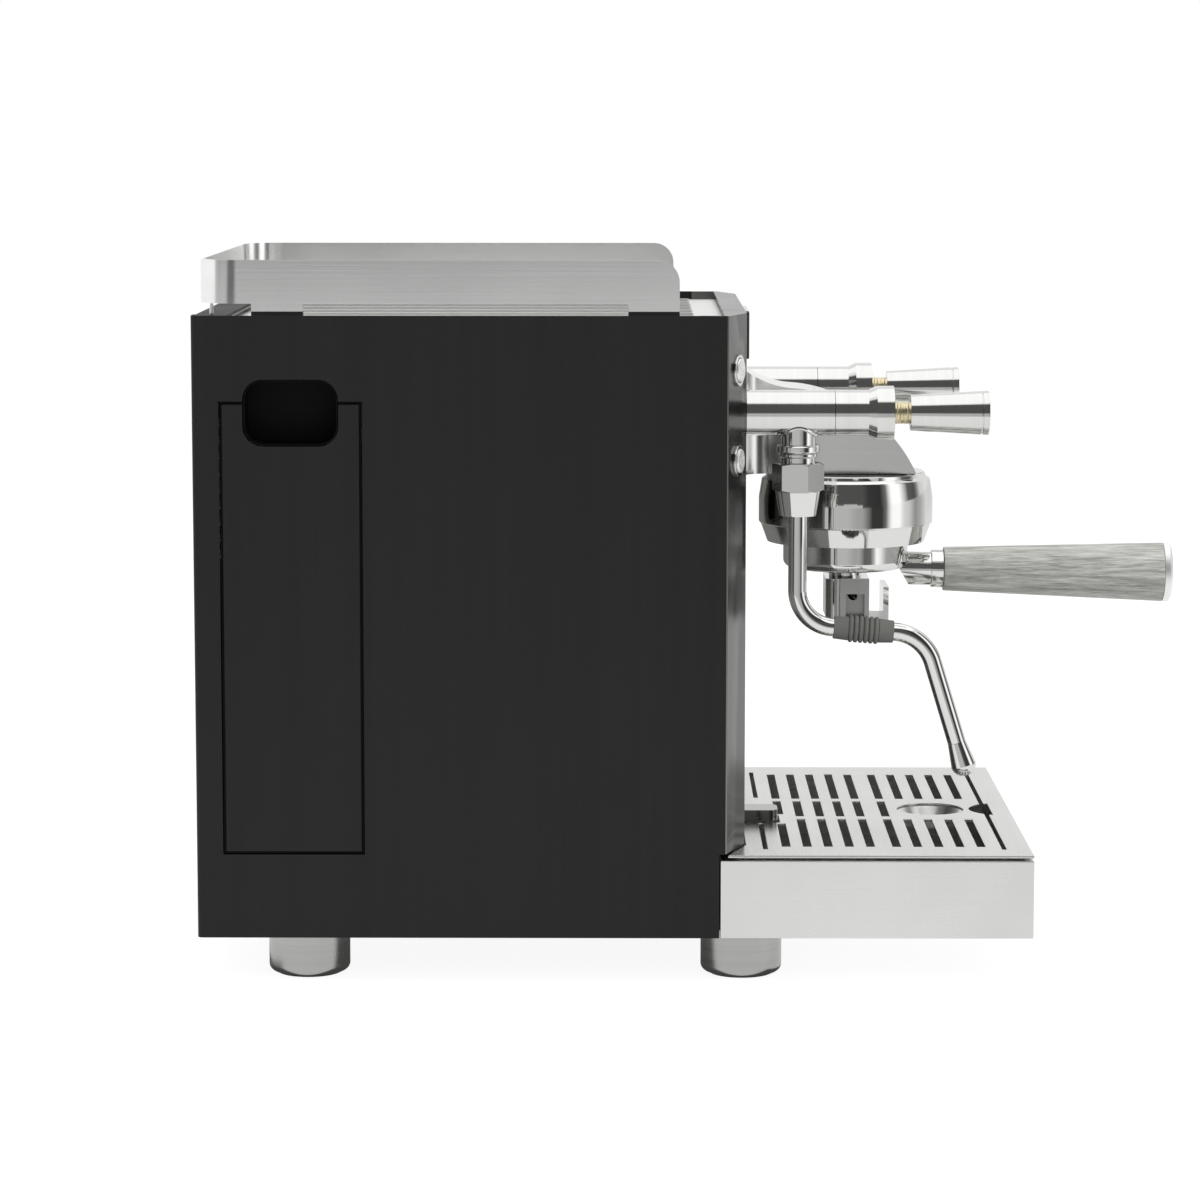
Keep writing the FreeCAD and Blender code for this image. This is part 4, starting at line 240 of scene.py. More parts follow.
@dataclass(frozen=True)
class Metal:
    """Worked metal with lines along one direction and faint patches from handling."""

    color: Color
    roughness: float
    brush: Brush = Brush.NONE
    contrast: float = 0.12
    relief: float = 0.04
    edge_tint: float = 1.0

    def material(self, name: str) -> Material:
        """Build the node material under a name."""
        made = Surface(name)
        lines, patch = made.lines(self.brush), made.handling().outputs["Patch"]
        tone = lines.outputs["Tone"]
        rough = made.graph.between(tone, self.roughness * 0.85, self.roughness * 1.15)
        return made.finish({
            "Base Color": made.tinge(tone, self.color, self.contrast),
            "Roughness": made.graph.math("MULTIPLY_ADD", patch, self.roughness * 0.22, rough),
            "Normal": made.bump(self.relief, 0.0002, lines.outputs["Height"]),
            "Metallic": 1.0,
            "Specular Tint": (self.edge_tint, self.edge_tint, self.edge_tint, 1.0)})


@dataclass(frozen=True)
class Coating:
    """Paint, plastic or rubber: an even colour with a fine grain and soft patches."""

    color: Color
    roughness: float
    specular: float = 0.5
    grain: float = 900.0
    relief: float = 0.12
    contrast: float = 0.12
    brush: Brush = Brush.NONE
    coat: float = 0.0

    def material(self, name: str) -> Material:
        """Build the node material under a name."""
        made = Surface(name)
        patch = made.handling().outputs["Patch"]
        return made.finish({
            "Base Color": made.tinge(made.lines(self.brush).outputs["Tone"], self.color, self.contrast),
            "Roughness": made.graph.between(patch, self.roughness, min(1.0, self.roughness * 1.2)),
            "Normal": made.bump(self.relief, 0.0003, made.graph.noise(made.place, self.grain, 2.0)),
            "Specular IOR Level": self.specular,
            "Coat Weight": self.coat})


@dataclass(frozen=True)
class ClearPlastic:
    """See-through tank plastic with faint flow marks."""

    color: Color
    alpha: float = 0.45

    def material(self, name: str) -> Material:
        """Build the node material under a name."""
        made = Surface(name)
        marks = made.handling().outputs
        return made.finish({
            "Base Color": made.tinge(marks["Speck"], self.color, 0.06),
            "Roughness": made.graph.between(marks["Patch"], 0.08, 0.2),
            "Alpha": self.alpha})


@dataclass(frozen=True)
class Wood:
    """Grey oiled wood with streaks and open pores along Y."""

    dark: Color
    middle: Color
    light: Color

    def material(self, name: str) -> Material:
        """Build the node material under a name."""
        made = Surface(name)
        graph = made.graph
        warp = graph.noise(made.stretched((190.0, 16.0, 190.0)), 0.8, 6.0, Roughness=0.66, Distortion=0.9)
        fibre = graph.noise(made.stretched((1150.0, 62.0, 1150.0)), 1.0, 4.0, Roughness=0.7)
        figure = graph.math("MULTIPLY_ADD", warp, 0.62, graph.math("MULTIPLY", fibre, 0.55))
        ramp = graph.add("ShaderNodeValToRGB", {0: figure})
        stops = ramp.color_ramp.elements
        for stop, position, color in ((stops[0], 0.42, self.dark), (stops[1], 0.74, self.light)):
            stop.position, stop.color = position, (*color, 1.0)
        stops.new(0.56).color = (*self.middle, 1.0)
        return made.finish({
            "Base Color": ramp.outputs[0],
            "Roughness": graph.between(fibre, 0.52, 0.36),
            "Normal": made.bump(0.22, 0.0004, fibre),
            "Specular IOR Level": 0.6})


class Finish(Enum):
    """Every finish of the machine, as the recipe of its material."""

    BLACK_PAINT = Coating((0.0135, 0.0135, 0.0133), 0.5, 0.22, 1500.0, 0.05, 0.16, Brush.UPRIGHT)
    FRONT_STEEL = Metal((0.23, 0.231, 0.223), 0.2, Brush.UPRIGHT, 0.1, 0.04, 0.65)
    SHELF_STEEL = Metal((0.8, 0.802, 0.785), 0.5, Brush.LEVEL_Y, 0.06)
    RAIL_STEEL = Metal((0.95, 0.952, 0.94), 0.16, Brush.LEVEL_Y, 0.06)
    TRAY_STEEL = Metal((0.73, 0.733, 0.717), 0.26, Brush.LEVEL_Y, 0.012, 0.012)
    COVER_STEEL = Metal((0.59, 0.593, 0.573), 0.24, Brush.LEVEL_X, 0.015, 0.015)
    FOOT_STEEL = Metal((0.44, 0.441, 0.43), 0.26, Brush.RINGS_ON_Z, 0.12)
    HOOD_STEEL = Metal((0.68, 0.682, 0.67), 0.14, Brush.LEVEL_Y, 0.04)
    TAP_STEEL = Metal((0.68, 0.682, 0.665), 0.1, Brush.RINGS_ON_Y, 0.05, 0.02)
    SATIN_STEEL = Metal((0.92, 0.922, 0.91), 0.5, Brush.RINGS_ON_Y, 0.05)
    POLISHED_STEEL = Metal((0.72, 0.722, 0.706), 0.045, Brush.NONE, 0.01, 0.0, 0.85)
    # Darker steel for the spout's side slab, and painted shade in the spout's window recess.
    DARK_CAST = Metal((0.36, 0.36, 0.345), 0.28, Brush.NONE, 0.06)
    DRAIN_STEEL = Metal((0.22, 0.22, 0.21), 0.12, Brush.NONE, 0.03)
    PLAIN_STEEL = Metal((0.5, 0.5, 0.49), 0.4, Brush.LEVEL_X, 0.08)
    BOILER_STEEL = Metal((0.52, 0.51, 0.49), 0.36, Brush.RINGS_ON_Z, 0.1)
    TURNED_BRASS = Metal((0.76, 0.68, 0.46), 0.28, Brush.RINGS_ON_Y, 0.03)
    DRAWN_COPPER = Metal((0.72, 0.36, 0.22), 0.28, Brush.NONE, 0.1)
    GREY_WOOD = Wood((0.13, 0.13, 0.118), (0.31, 0.31, 0.287), (0.56, 0.56, 0.53))
    BUTTON_STEEL = Metal((0.95, 0.952, 0.935), 0.48, Brush.NONE, 0.06)
    GRIP_RUBBER = Coating((0.13, 0.131, 0.122), 0.72, 0.3, 700.0, 0.2)
    BLACK_RUBBER = Coating((0.018, 0.018, 0.018), 0.75, 0.3, 700.0, 0.2)
    BLACK_PLASTIC = Coating((0.02, 0.02, 0.02), 0.55, 0.4, 1100.0, 0.18)
    # Near-black painted shade, darker than the black paint, for the finger recess and the gap round the door.
    RECESS_BLACK = Coating((0.003, 0.003, 0.003), 0.6, 0.15, 1100.0, 0.1)
    DISPLAY_GLOSS = Coating((0.008, 0.008, 0.009), 0.12, 0.5, 300.0, 0.0, 0.1, coat=0.4)
    TANK_PLASTIC = ClearPlastic((0.55, 0.58, 0.6))

    @property
    def material(self) -> Material:
        """The material, built at its first use."""
        name = self.name.lower()
        return bpy.data.materials.get("finish_" + name) or self.value.material(name)


def paint(nodes: list[str], finish: Finish) -> None:
    """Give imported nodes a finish."""
    for node in nodes:
        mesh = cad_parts[node].data
        mesh.materials.clear()
        mesh.materials.append(finish.material)


def link(obj: Obj) -> Obj:
    """Put a new object into the scene."""
    bpy.context.scene.collection.objects.link(obj)
    return obj


def evaluated(obj: Obj) -> bpy.types.Mesh:
    """Mesh of an object with its modifiers applied; the object is removed."""
    bpy.context.view_layer.update()
    mesh = bpy.data.meshes.new_from_object(obj.evaluated_get(bpy.context.evaluated_depsgraph_get()))
    bpy.data.objects.remove(obj)
    return mesh


def plain_mesh(obj: Obj, name: str, material: Material, sharp: float = FOLD_SHARP) -> Obj:
    """Turn an object with modifiers into a plain mesh piece whose wide faces stay flat in their shading.

    Args:
        obj: Object to evaluate; it is removed.
        name: Name of the new piece.
        material: Material of the new piece.
        sharp: Edges that turn by more than this angle, in degrees, stay sharp.

    Returns:
        The new piece.
    """
    mesh = evaluated(obj)
    mesh.shade_smooth()
    mesh.set_sharp_from_angle(angle=radians(sharp))
    blank = link(bpy.data.objects.new(name + "_shaded", mesh))
    normals = blank.modifiers.new("normals", "WEIGHTED_NORMAL")
    normals.mode = "FACE_AREA"
    normals.weight = 90
    normals.keep_sharp = True
    mesh = evaluated(blank)
    mesh.name = name
    mesh.materials.clear()
    mesh.materials.append(material)
    return link(bpy.data.objects.new(name, mesh))


def place_piece(obj: Obj, body: Body, slot: str, *nodes: str) -> Obj:
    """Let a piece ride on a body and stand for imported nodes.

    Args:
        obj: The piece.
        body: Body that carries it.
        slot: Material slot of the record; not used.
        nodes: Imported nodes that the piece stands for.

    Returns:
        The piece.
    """
    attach(obj, body.value)
    if nodes:
        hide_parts(*nodes)
    LOG.info("piece %s on %s", obj.name, body.value)
    return obj


def eased(node: str, finish: Finish, body: Body, slot: str, width: float = 0.25,
          cutters: list[Obj] | None = None) -> Obj:
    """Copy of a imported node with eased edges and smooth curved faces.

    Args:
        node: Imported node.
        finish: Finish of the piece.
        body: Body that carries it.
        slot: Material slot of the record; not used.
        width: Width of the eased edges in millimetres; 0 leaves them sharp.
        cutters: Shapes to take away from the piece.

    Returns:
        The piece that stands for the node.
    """
    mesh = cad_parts[node].data.copy()
    shape = bmesh.new()
    shape.from_mesh(mesh)
    bmesh.ops.remove_doubles(shape, verts=shape.verts, dist=WELD)
    bmesh.ops.dissolve_limit(shape, angle_limit=radians(FLAT_TURN), verts=shape.verts, edges=shape.edges)
    shape.to_mesh(mesh)
    shape.free()
    obj = link(bpy.data.objects.new(node + "_blank", mesh))
    if width:
        edge = obj.modifiers.new("edge", "BEVEL")
        edge.width = width * MM
        edge.segments = 2
        edge.limit_method = "ANGLE"
        edge.angle_limit = radians(BEVEL_SHARP)
        edge.use_clamp_overlap = True
    piece = plain_mesh(obj, node + "_shell", finish.material)
    if cutters:
        piece = carved(piece, cutters)
    return place_piece(piece, body, slot, node)


def tinted(piece: Obj, finish: Finish, low: Point, high: Point) -> None:
    """Give a second finish to the faces whose middle lies in a box.

    Args:
        piece: Piece to repaint in part.
        finish: Finish of those faces.
        low: Lower corner of the box in millimetres.
        high: Upper corner of the box in millimetres.
    """
    start, end = at(*low), at(*high)
    piece.data.materials.append(finish.material)
    index = len(piece.data.materials) - 1
    for face in piece.data.polygons:
        if all(a < value < b for a, value, b in zip(start, face.center, end)):
            face.material_index = index


def rounded(profile: Profile, radius: float) -> Profile:
    """Closed outline with its corners rounded.

    Args:
        profile: Outline as (radius, height) pairs.
        radius: Radius of the rounds; short edges get less.

    Returns:
        The outline with three points on each round.
    """
    result = []
    count = len(profile)
    for n, corner in enumerate(profile):
        here = Vector(corner)
        before, after = Vector(profile[n - 1]) - here, Vector(profile[(n + 1) % count]) - here
        turn = pi - before.angle(after)
        if here.x < TINY or turn < radians(SMOOTH_TURN):
            result.append(corner)
            continue
        cut = min(radius * tan(turn / 2), SHORT_SHARE * before.length, SHORT_SHARE * after.length)
        first, last = here + before.normalized() * cut, here + after.normalized() * cut
        middle = (first + last) / 4 + here / 2
        result += [tuple(first), tuple(middle), tuple(last)]
    return result


def arc(start: Pair, middle: Pair, end: Pair, count: int) -> Profile:
    """Points of the circle through three profile points, with both ends."""
    (ax, ay), (bx, by), (cx, cy) = start, middle, end
    d = 2 * (ax * (by - cy) + bx * (cy - ay) + cx * (ay - by))
    a, b, c = ax * ax + ay * ay, bx * bx + by * by, cx * cx + cy * cy
    centre = Vector(((a * (by - cy) + b * (cy - ay) + c * (ay - by)) / d,
                     (a * (cx - bx) + b * (ax - cx) + c * (bx - ax)) / d))
    first, last = Vector(start) - centre, Vector(end) - centre
    turn = -first.angle_signed(last)
    return [tuple(centre + Matrix.Rotation(turn * n / (count - 1), 2) @ first) for n in range(count)]


def quarter(radius: float, edge: float, level: float, rise: int, count: int) -> Profile:
    """Quarter round on the rim of a turned piece.

    Args:
        radius: Radius of the piece.
        edge: Radius of the round.
        level: Height of the end face.
        rise: 1 where the side lies above the end face and -1 where it lies below.
        count: Number of points.

    Returns:
        Points from the end face to the side.
    """
    cut = edge * ROUND_SHARE
    middle, side = (radius - cut, level + rise * cut), (radius, level + rise * edge)
    return arc((radius - edge, level), middle, side, count)


def lathe(name: str, profile: Profile, centre: Vector, axis: Vector, finish: Finish,
          ease: float = 0.3, steps: int = 128) -> Obj:
    """Turned piece.

    Args:
        name: Name of the piece.
        profile: Closed outline as (radius, height) pairs in millimetres.
        centre: Foot of the axis in the row frame.
        axis: Direction of the axis.
        finish: Finish of the piece.
        ease: Radius of the rounds on its edges in millimetres.
        steps: Faces round the axis.

    Returns:
        The piece, not yet on a body.
    """
    outline = rounded(profile, ease)
    axis = axis.normalized()
    side = axis.orthogonal().normalized()
    across = axis.cross(side).normalized()
    shape = bmesh.new()
    rings = []
    for step in range(steps):
        turn = 2 * pi * step / steps
        out = side * cos(turn) + across * sin(turn)
        rings.append([shape.verts.new(centre + (out * radius + axis * height) * MM)
                      for radius, height in outline])
    count = len(outline)
    for ring, following in zip(rings, rings[1:] + rings[:1]):
        for n in range(count):
            m = (n + 1) % count
            if outline[n][0] > TINY or outline[m][0] > TINY:
                shape.faces.new((ring[n], ring[m], following[m], following[n]))
    bmesh.ops.remove_doubles(shape, verts=shape.verts, dist=FINE_WELD)
    bmesh.ops.dissolve_degenerate(shape, edges=shape.edges, dist=FINE_WELD)
    bmesh.ops.recalc_face_normals(shape, faces=shape.faces)
    mesh = bpy.data.meshes.new(name)
    shape.to_mesh(mesh)
    shape.free()
    blank = link(bpy.data.objects.new(name + "_blank", mesh))
    return plain_mesh(blank, name, finish.material, TURN_SHARP)


def merged(name: str, pieces: list[Obj]) -> Obj:
    """Put several pieces with their materials and normals into one mesh.

    Args:
        name: Name of the new piece.
        pieces: Pieces to put together; they are removed.

    Returns:
        The new piece.
    """
    first = pieces[0]
    with bpy.context.temp_override(active_object=first, selected_objects=pieces,
                                   selected_editable_objects=pieces):
        bpy.ops.object.join()
    first.name = name
    first.data.name = name
    return first


def carved(piece: Obj, cutters: list[Obj]) -> Obj:
    """Cut shapes out of a piece.

    Args:
        piece: Piece to cut; it is replaced.
        cutters: Shapes to take away; they are removed.

    Returns:
        The cut piece, under the same name.
    """
    name, material = piece.name, piece.data.materials[0]
    for cutter in cutters:
        cut = piece.modifiers.new("cut", "BOOLEAN")
        cut.object = cutter
        cut.solver = "EXACT"
    piece.name = name + "_blank"
    result = plain_mesh(piece, name, material, TURN_SHARP)
    for cutter in cutters:
        bpy.data.objects.remove(cutter)
    return result


def prism(name: str, corners: list[Vector], along: Vector, finish: Finish) -> Obj:
    """Straight prism over a plane outline, as a blank to cut with or to build on."""
    shape = bmesh.new()
    face = shape.faces.new([shape.verts.new(corner) for corner in corners])
    swept = bmesh.ops.extrude_face_region(shape, geom=[face])["geom"]
    bmesh.ops.translate(shape, vec=along, verts=[v for v in swept if isinstance(v, bmesh.types.BMVert)])
    bmesh.ops.recalc_face_normals(shape, faces=shape.faces)
    mesh = bpy.data.meshes.new(name)
    shape.to_mesh(mesh)
    shape.free()
    mesh.materials.append(finish.material)
    return link(bpy.data.objects.new(name, mesh))


class NodeShape:
    """A geometry node tree with named inputs that makes one kind of repeated or swept shape."""

    SOCKETS = {float: "NodeSocketFloat", int: "NodeSocketInt", tuple: "NodeSocketVector"}

    def __init__(self, name: str, inputs: dict[str, float | int | tuple]) -> None:
        """Start the tree.

        Args:
            name: Name of the tree.
            inputs: Named sizes with their default values.
        """
        self.tree = bpy.data.node_groups.new(name, "GeometryNodeTree")
        face = self.tree.interface
        face.new_socket("Geometry", in_out="INPUT", socket_type="NodeSocketGeometry")
        for key, value in inputs.items():
            face.new_socket(key, in_out="INPUT", socket_type=self.SOCKETS[type(value)]).default_value = value
        face.new_socket("Material", in_out="INPUT", socket_type="NodeSocketMaterial")
        face.new_socket("Geometry", in_out="OUTPUT", socket_type="NodeSocketGeometry")
        self.graph = Graph(self.tree)
        start = self.graph.add("NodeGroupInput")
        self.given = {s.name: s for s in start.outputs if s.name}

    def sweep(self, path: Socket, radius: Socket, sides: int) -> Socket:
        """Round bar of a radius along a curve, with closed ends."""
        ring = self.circle(radius, sides)
        values = {"Curve": path, "Profile Curve": ring, "Fill Caps": True}
        return self.graph.out("GeometryNodeCurveToMesh", values)

    def circle(self, radius: Socket, sides: int) -> Socket:
        """Circle of a radius in the XY plane."""
        return self.graph.out("GeometryNodeCurvePrimitiveCircle", {"Resolution": sides, "Radius": radius})

    def moved(self, geometry: Socket, place: Socket | Triple = (0.0, 0.0, 0.0),
              turn: Socket | Triple = (0.0, 0.0, 0.0)) -> Socket:
        """Geometry that is turned and then moved."""
        values = {"Geometry": geometry, "Translation": place, "Rotation": turn}
        return self.graph.out("GeometryNodeTransform", values)

    def close(self, geometry: Socket) -> "NodeShape":
        """End the tree with real geometry that has its material."""
        real = self.graph.out("GeometryNodeRealizeInstances", {"Geometry": geometry})
        values = {"Geometry": real, "Material": self.given["Material"]}
        self.graph.add("NodeGroupOutput", {0: self.graph.out("GeometryNodeSetMaterial", values)})
        return self

    def make(self, name: str, sizes: dict[str, float | int | tuple], finish: Finish,
             points: list[Vector] | None = None, bends: list[float] | None = None) -> Obj:
        """Make a plain mesh piece from the tree.

        Args:
            name: Name of the piece.
            sizes: Values of the named inputs.
            finish: Finish of the piece.
            points: Points that the tree starts from, joined in a row.
            bends: Number at each point, read by the tree as the attribute "bend".

        Returns:
            The piece, not yet on a body.
        """
        mesh = bpy.data.meshes.new(name + "_blank")
        rows = points or []
        mesh.from_pydata(rows, [(n, n + 1) for n in range(len(rows) - 1)] if bends else [], [])
        if bends:
            mesh.attributes.new("bend", "FLOAT", "POINT").data.foreach_set("value", bends)
        obj = link(bpy.data.objects.new(name + "_blank", mesh))
        shaper = obj.modifiers.new("shape", "NODES")
        shaper.node_group = self.tree
        keys = {item.name: item.identifier for item in self.tree.interface.items_tree
                if item.in_out == "INPUT"}
        for key, value in {**sizes, "Material": finish.material}.items():
            shaper[keys[key]] = value
        return plain_mesh(obj, name, finish.material, TURN_SHARP)


def thread_shape() -> NodeShape:
    """Helical thread ridge on a round bar."""
    shape = NodeShape("Thread", {"Radius": 0.005, "Pitch": 0.001, "Turns": 6.0, "Ridge": 0.0004,
                                 "Place": (0.0, 0.0, 0.0), "Turn": (0.0, 0.0, 0.0)})
    graph, given = shape.graph, shape.given
    helix = graph.out("GeometryNodeCurveSpiral", {
        "Resolution": 40, "Rotations": given["Turns"], "Start Radius": given["Radius"],
        "End Radius": given["Radius"], "Height": graph.math("MULTIPLY", given["Pitch"], given["Turns"])})
    return shape.close(shape.moved(shape.sweep(helix, given["Ridge"], 6), given["Place"], given["Turn"]))


def saddle_shape() -> NodeShape:
    """Bead along the line in which an upright boss meets a level barrel."""
    shape = NodeShape("Saddle Bead", {"Boss Radius": 0.009, "Barrel Radius": 0.012, "Bead": 0.001,
                                      "Place": (0.0, 0.0, 0.0)})
    graph, given = shape.graph, shape.given
    across = graph.out("ShaderNodeSeparateXYZ", {0: graph.out("GeometryNodeInputPosition")})
    square, whole = [graph.math("MULTIPLY", side, side) for side in (across, given["Barrel Radius"])]
    depth = graph.math("SQRT", graph.math("SUBTRACT", whole, square))
    drop = graph.out("ShaderNodeCombineXYZ", {2: graph.math("MULTIPLY", depth, -1.0)})
    ring = shape.circle(given["Boss Radius"], 96)
    line = graph.out("GeometryNodeSetPosition", {"Geometry": ring, "Offset": drop})
    return shape.close(shape.moved(shape.sweep(line, given["Bead"], 12), given["Place"]))


def ribs_shape() -> NodeShape:
    """Row of round ribs along a bar."""
    shape = NodeShape("Ribs", {"Radius": 0.006, "Rib": 0.0008, "Count": 6, "Pitch": 0.0027,
                               "Place": (0.0, 0.0, 0.0), "Turn": (0.0, 0.0, 0.0)})
    graph, given = shape.graph, shape.given
    step = graph.out("ShaderNodeCombineXYZ", {2: given["Pitch"]})
    row = graph.out("GeometryNodeMeshLine", {"Count": given["Count"], "Offset": step})
    rib = shape.sweep(shape.circle(given["Radius"], 72), given["Rib"], 10)
    rings = graph.out("GeometryNodeInstanceOnPoints", {"Points": row, "Instance": rib})
    return shape.close(shape.moved(rings, given["Place"], given["Turn"]))


def bent_bar_shape() -> NodeShape:
    """Round bar along a row of points, with a bend of its own radius at each."""
    shape = NodeShape("Bent Bar", {"Radius": 0.005})
    graph, given = shape.graph, shape.given
    path = graph.out("GeometryNodeMeshToCurve", {"Mesh": given["Geometry"]})
    bend = graph.out("GeometryNodeInputNamedAttribute", {"Name": "bend"}, data_type="FLOAT")
    soft = graph.out("GeometryNodeFilletCurve", {"Curve": path, "Count": 28, "Radius": bend}, mode="POLY")
    return shape.close(shape.sweep(soft, given["Radius"], 64))


def screw_shape() -> NodeShape:
    """Countersunk screws with a cross recess, one at each point, that go in along -Y."""
    shape = NodeShape("Screws", {"Head": 0.003, "Shank": 0.0015, "Sink": 0.0015, "Length": 0.009})
    graph, given = shape.graph, shape.given
    head = graph.out("GeometryNodeMeshCone", {"Vertices": 32, "Radius Top": given["Shank"],
                                              "Radius Bottom": given["Head"], "Depth": given["Sink"]})
    wide, thin = [graph.math("MULTIPLY", given["Head"], share) for share in (1.15, 0.22)]
    size = graph.out("ShaderNodeCombineXYZ", {0: wide, 1: thin, 2: given["Sink"]})
    arm = graph.out("GeometryNodeMeshCube", {"Size": size})
    cut = graph.add("GeometryNodeMeshBoolean", {"Mesh 1": head}, operation="DIFFERENCE", solver="EXACT")
    for turn in (0.0, pi / 2):
        graph.put(cut.inputs["Mesh 2"], shape.moved(arm, turn=(0.0, 0.0, turn)))
    shank = graph.out("GeometryNodeMeshCylinder", {"Vertices": 24, "Radius": given["Shank"],
                                                   "Depth": given["Length"]})
    middle = graph.math("MULTIPLY_ADD", given["Length"], 0.5, given["Sink"])
    lift = graph.out("ShaderNodeCombineXYZ", {2: middle})
    whole = graph.add("GeometryNodeJoinGeometry")
    for part in (cut.outputs[0], shape.moved(shank, lift)):
        graph.put(whole.inputs[0], part)
    laid = shape.moved(whole.outputs[0], turn=(pi / 2, 0.0, 0.0))
    values = {"Points": given["Geometry"], "Instance": laid}
    return shape.close(graph.out("GeometryNodeInstanceOnPoints", values))


@dataclass
class Studio:
    """Floor, lamps, dark cards, white surroundings and the camera."""

    lens: float = 118.04
    eye: Point = (-2166.26, -224.07, 430.73)
    pitch: float = 7.088
    yaw: float = 0.365
    roll: float = 0.018
    sky: float = 0.62
    card_middle: float = -0.08
    card_steps: int = 4

    def build(self) -> None:
        """Build everything round the machine."""
        self.camera()
        self.world()
        self.floor()
        self.lamps()
        self.cards()
        bpy.context.scene.view_settings.view_transform = "Standard"

    def camera(self) -> None:
        """Camera at the viewing angle of the photograph."""
        pitch, yaw, roll = radians(self.pitch), radians(self.yaw), radians(self.roll)
        ahead = Vector((cos(pitch) * cos(yaw), cos(pitch) * sin(yaw), -sin(pitch)))
        level = Vector((sin(yaw), -cos(yaw), 0.0))
        upward = level.cross(ahead)
        right = level * cos(roll) + upward * sin(roll)
        top = upward * cos(roll) - level * sin(roll)
        data = bpy.data.cameras.new("camera")
        data.lens = self.lens
        data.sensor_width = 36.0
        data.clip_end = 100.0
        obj = link(bpy.data.objects.new("camera", data))
        turn = Matrix((right, top, -ahead)).transposed().to_4x4()
        obj.matrix_world = Matrix.Translation(at(*self.eye)) @ turn
        bpy.context.scene.camera = obj

    def world(self) -> None:
        """White surroundings for the camera and for reflections, and softer light on the object."""
        world = bpy.data.worlds.new("surroundings")
        world.use_nodes = True
        graph = Graph(world.node_tree)
        background = world.node_tree.nodes["Background"]
        graph.put(background.inputs["Color"], WHITE)
        graph.put(background.inputs["Strength"], graph.between(self.seen(graph), self.sky, 1.0))
        bpy.context.scene.world = world

    def seen(self, graph: Graph) -> Socket:
        """1 for rays that show the surroundings themselves, and 0 for rays that light a surface."""
        rays = graph.add("ShaderNodeLightPath").outputs
        direct = graph.math("MAXIMUM", rays["Is Camera Ray"], rays["Is Glossy Ray"])
        return graph.math("MAXIMUM", direct, rays["Is Transmission Ray"])

    def flat(self, name: str, x: Pair, y: Pair, z: float) -> bpy.types.Mesh:
        """Level rectangle over a range of X and Y at a height."""
        mesh = bpy.data.meshes.new(name)
        corners = [(x[0], y[0], z), (x[1], y[0], z), (x[1], y[1], z), (x[0], y[1], z)]
        mesh.from_pydata(corners, [], [(0, 1, 2, 3)])
        return mesh

    def floor(self) -> None:
        """Pale floor that keeps a faint shadow of the machine."""
        reach = (-30.0, 30.0)
        mesh = self.flat("floor", reach, reach, 0.0)
        obj = link(bpy.data.objects.new("floor", mesh))
        obj.location.z = -0.0003
        made = Surface("floor")
        graph = made.graph
        tint = graph.blend(graph.noise(made.place, 40.0, 2.0), (0.86, 0.86, 0.86, 1), (0.9, 0.9, 0.9, 1))
        mesh.materials.append(made.finish({"Base Color": tint, "Roughness": 0.9, "Specular IOR Level": 0.0}))
        direct = graph.add("ShaderNodeLightPath").outputs["Is Camera Ray"]
        level = graph.between(direct, 0.98, 1.12)
        glow = graph.out("ShaderNodeEmission", {"Color": WHITE, "Strength": level})
        share = graph.math("MULTIPLY", self.seen(graph), 0.82)
        blend = graph.out("ShaderNodeMixShader", {0: share, 1: made.shader.outputs[0], 2: glow})
        graph.put(graph.tree.nodes["Material Output"].inputs["Surface"], blend)

    def lamps(self) -> None:
        """Large soft lamps above and at the sides."""
        self.lamp("top_lamp", (-0.3, -0.1, 2.4), (0, 0, 0.2), 2.2, 30.0)
        self.lamp("left_lamp", (-2.4, -1.2, 1.6), (0, -0.05, 0.2), 1.8, 19.0)
        self.lamp("right_lamp", (2.2, -1.4, 1.5), (0, -0.05, 0.2), 1.8, 16.0)
        self.lamp("rear_lamp", (0.2, 2.4, 1.7), (0, 0.05, 0.2), 1.8, 14.0)

    def lamp(self, name: str, place: Point, target: Point, size: float, power: float) -> None:
        """Add one area lamp that points at a target."""
        data = bpy.data.lights.new(name, "AREA")
        data.size = size
        data.energy = power
        obj = link(bpy.data.objects.new(name, data))
        obj.location = place
        obj.rotation_mode = "QUATERNION"
        obj.rotation_quaternion = (Vector(target) - Vector(place)).to_track_quat("-Z", "Y")
        obj.visible_camera = False
        obj.visible_glossy = False

    def cards(self) -> None:
        """Soft cards and softboxes that only reflections show, so that bright metal has its contrast, and a
        dark sheet of painted shadow under the machine.
        """
        near = 1.15
        self.band("camera_side", 2.6, (0.3, 3.2), [(-75, 0.1), (28, 0.1)])
        self.band("far_horizon", 2.55, (0.0, 0.32), [
            (-75, 0.62), (-44, 0.62), (-38, 0.12), (-24, 0.12), (-18, 0.62), (28, 0.62)])
        self.band("near_horizon", near, (0.0, 0.25), [(-75, 0.62), (0, 0.6), (11, 0.48), (19, 0.45)])
        self.band("upper_front", near, (0.25, 1.6), [
            (19, 0.1), (27, 0.05), (43, 0.04), (51, 0.2), (57, 1.1), (60, 1.4), (72, 1.4), (79, 0.8),
            (87, 0.14), (100, 0.1), (106, 0.3), (113, 0.8), (125, 0.95)])
        self.band("middle_front", near, (0.105, 0.25), [
            (19, 0.45), (24, 0.3), (32, 0.05), (45, 0.05), (51, 0.2), (57, 1.0), (60, 1.3), (71, 1.35),
            (79, 0.9), (89, 0.74), (100, 0.37), (113, 0.55), (129, 0.95)])
        self.band("lower_front", near, (0.0, 0.105), [
            (19, 0.5), (25, 0.42), (33, 0.15), (44, 0.18), (51, 0.6), (56, 1.3), (64, 1.1), (72, 0.7),
            (78, 0.46), (106, 0.4), (124, 0.9)])
        self.sheet("overhead_softbox", (-1.75, 1.75), (-1.6, 1.6), 2.6, 1.4)
        # Painted shadow: a dark level card under the machine that stands for its shadow in reflections.
        self.sheet("shade_below", (-0.13, 0.14), (-0.05, 0.25), 0.0006, 0.1)

